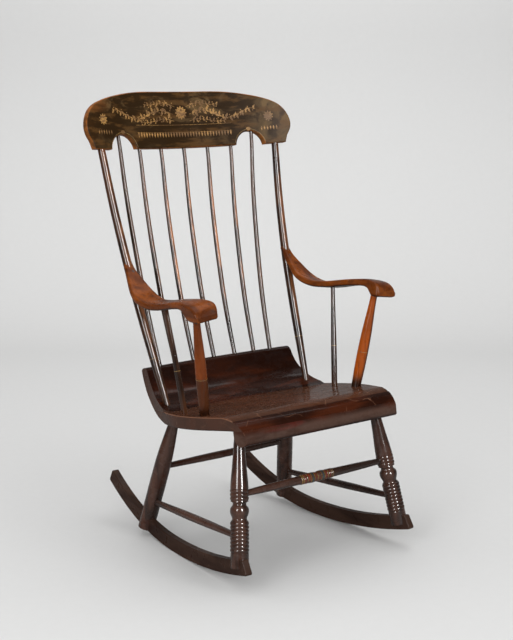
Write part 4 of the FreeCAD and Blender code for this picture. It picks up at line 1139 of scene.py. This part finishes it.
def paper(stage):
    """Seamless paper, seen brighter than it lights the chair, and clear from behind."""
    weave = Weave("seamless_paper")
    fibre = weave.noise(weave.place, 40.0, 3.0, 0.5)
    dim = tuple(value * 0.97 for value in stage.floor_colour)
    thrown = tuple(value * stage.floor_bounce for value in stage.floor_colour)
    seen = weave.add("ShaderNodeLightPath").outputs["Is Camera Ray"]
    colour = weave.blend(seen, thrown, weave.blend(fibre, dim, stage.floor_colour))
    weave.finish(colour, 0.85, weave.bump(fibre, 0.0002))
    clear = weave.add("ShaderNodeMixShader", {
        0: weave.geometry["Backfacing"], 1: weave.shader.outputs["BSDF"],
        2: weave.add("ShaderNodeBsdfTransparent").outputs["BSDF"]})
    feed(weave.tree, weave.output, {"Surface": clear.outputs["Shader"]})
    return weave.material


def sweep_mesh(stage):
    """Floor that curves up into a backdrop behind the chair."""
    turn = Matrix.Rotation(stage.camera_turn, 3, "Z")
    profile = [(SWEEP_NEAR, 0.0), (SWEEP_BEND, 0.0)]
    for index in range(1, SWEEP_STEPS + 1):
        angle = math.pi / 2 * index / SWEEP_STEPS
        profile.append((SWEEP_BEND + SWEEP_RADIUS * math.sin(angle),
                        SWEEP_RADIUS - SWEEP_RADIUS * math.cos(angle)))
    profile.append((SWEEP_BEND + SWEEP_RADIUS, SWEEP_TOP))
    points = [turn @ Vector((across, along, up))
              for across in (-SWEEP_HALF_WIDTH, SWEEP_HALF_WIDTH) for along, up in profile]
    count = len(profile)
    faces = [(index, count + index, count + index + 1, index + 1) for index in range(count - 1)]
    made = mesh_object("seamless_floor", points, faces=faces)
    for polygon in made.data.polygons:
        polygon.use_smooth = True
    return made


def area_lamp(name, place, size, power, target=CHAIR_MIDDLE):
    """A rectangular lamp that the camera doesn't see."""
    data = bpy.data.lights.new(name, "AREA")
    data.shape = "RECTANGLE"
    data.size, data.size_y = size
    data.energy = power
    lamp = bpy.data.objects.new(name, data)
    bpy.context.scene.collection.objects.link(lamp)
    lamp.location = place
    lamp.visible_camera = False
    way = Vector(target) - Vector(place)
    lamp.rotation_euler = way.to_track_quat("-Z", "Y").to_euler()
    return lamp


def studio_world(stage):
    """Even light all round, and a dim studio in gloss."""
    world = bpy.data.worlds.new("studio")
    world.use_nodes = True
    tree = world.node_tree
    rays = add_node(tree, "ShaderNodeLightPath")
    level = add_node(tree, "ShaderNodeMapRange", {
        "Value": rays.outputs["Is Glossy Ray"], "To Min": stage.world_strength,
        "To Max": stage.world_gloss})
    feed(tree, tree.nodes["Background"], {
        "Color": (1.0, 1.0, 1.0, 1.0), "Strength": level.outputs["Result"]})
    bpy.context.scene.world = world


def studio_camera(stage):
    """The camera at the photograph's angle."""
    data = bpy.data.cameras.new("camera")
    data.sensor_fit = "HORIZONTAL"
    data.sensor_width = CAMERA_FRAME_WIDTH
    data.lens = stage.lens
    data.clip_end = CAMERA_REACH
    camera = bpy.data.objects.new("camera", data)
    bpy.context.scene.collection.objects.link(camera)
    camera.location = (*CAMERA_PLACE, stage.camera_height)
    camera.rotation_euler = Euler((math.pi / 2 - stage.camera_dip, 0.0, stage.camera_turn))
    bpy.context.scene.camera = camera


class SetStage(bpy.types.Operator):
    """Lays the paper and sets the lamps and the camera"""
    bl_idname = "rocker.set_stage"
    bl_label = "Set Stage"

    def execute(self, context):
        stage = context.scene.rocker_stage
        context.scene.view_settings.view_transform = "Standard"
        floor = sweep_mesh(stage)
        floor.data.materials.append(paper(stage))
        studio_world(stage)
        key = area_lamp("key_lamp", (-3.0, -1.3, 1.7), (1.6, 2.0), stage.key_power)
        fill = area_lamp("fill_lamp", (0.9, -3.2, 1.8), (1.0, 2.0), stage.fill_power)
        for lamp in (key, fill):
            lamp.visible_glossy = False
        area_lamp("top_lamp", (0.2, 0.2, 3.2), (2.4, 2.4), stage.top_power)
        area_lamp("backdrop_lamp", (1.0, 1.3, 3.0), (3.0, 0.8), stage.backdrop_power,
                  target=(2.2, 2.9, 1.0))
        left = area_lamp("left_card", (-2.90, -1.34, 1.7), (0.7, 1.8), stage.left_card_power)
        right = area_lamp("right_card", (-0.20, -3.19, 1.7), (0.5, 1.8), stage.right_card_power)
        for card in (left, right):
            card.visible_diffuse = False
        studio_camera(stage)
        return {"FINISHED"}


class RockingChairPanel(bpy.types.Panel):
    """Lists the steps that dress the chair"""
    bl_label = "Rocking Chair"
    bl_idname = "VIEW3D_PT_rocking_chair"
    bl_space_type = "VIEW_3D"
    bl_region_type = "UI"
    bl_category = "Rocking Chair"

    def draw(self, context):
        for operator in OPERATORS:
            self.layout.operator(operator.bl_idname)


OPERATORS = (DressCrestRail, StencilCrestRail, DressBack, DressArms, DressArmSupports, PaintRings,
             DressSeat, DressLegs, DressStretchers, DressRockers, SetStage)
GROUPS = (PaintColours, OrnamentSizes, StageSettings)


def register():
    for entry in GROUPS + OPERATORS + (RockingChairPanel,):
        bpy.utils.register_class(entry)
    bpy.types.Scene.rocker_colours = bpy.props.PointerProperty(type=PaintColours)
    bpy.types.Scene.rocker_ornament = bpy.props.PointerProperty(type=OrnamentSizes)
    bpy.types.Scene.rocker_stage = bpy.props.PointerProperty(type=StageSettings)


def unregister():
    del bpy.types.Scene.rocker_stage
    del bpy.types.Scene.rocker_ornament
    del bpy.types.Scene.rocker_colours
    for entry in reversed(GROUPS + OPERATORS + (RockingChairPanel,)):
        bpy.utils.unregister_class(entry)


def main():
    register()
    for operator in OPERATORS:
        group, name = operator.bl_idname.split(".")
        getattr(getattr(bpy.ops, group), name)()


if __name__ == "__main__":
    main()
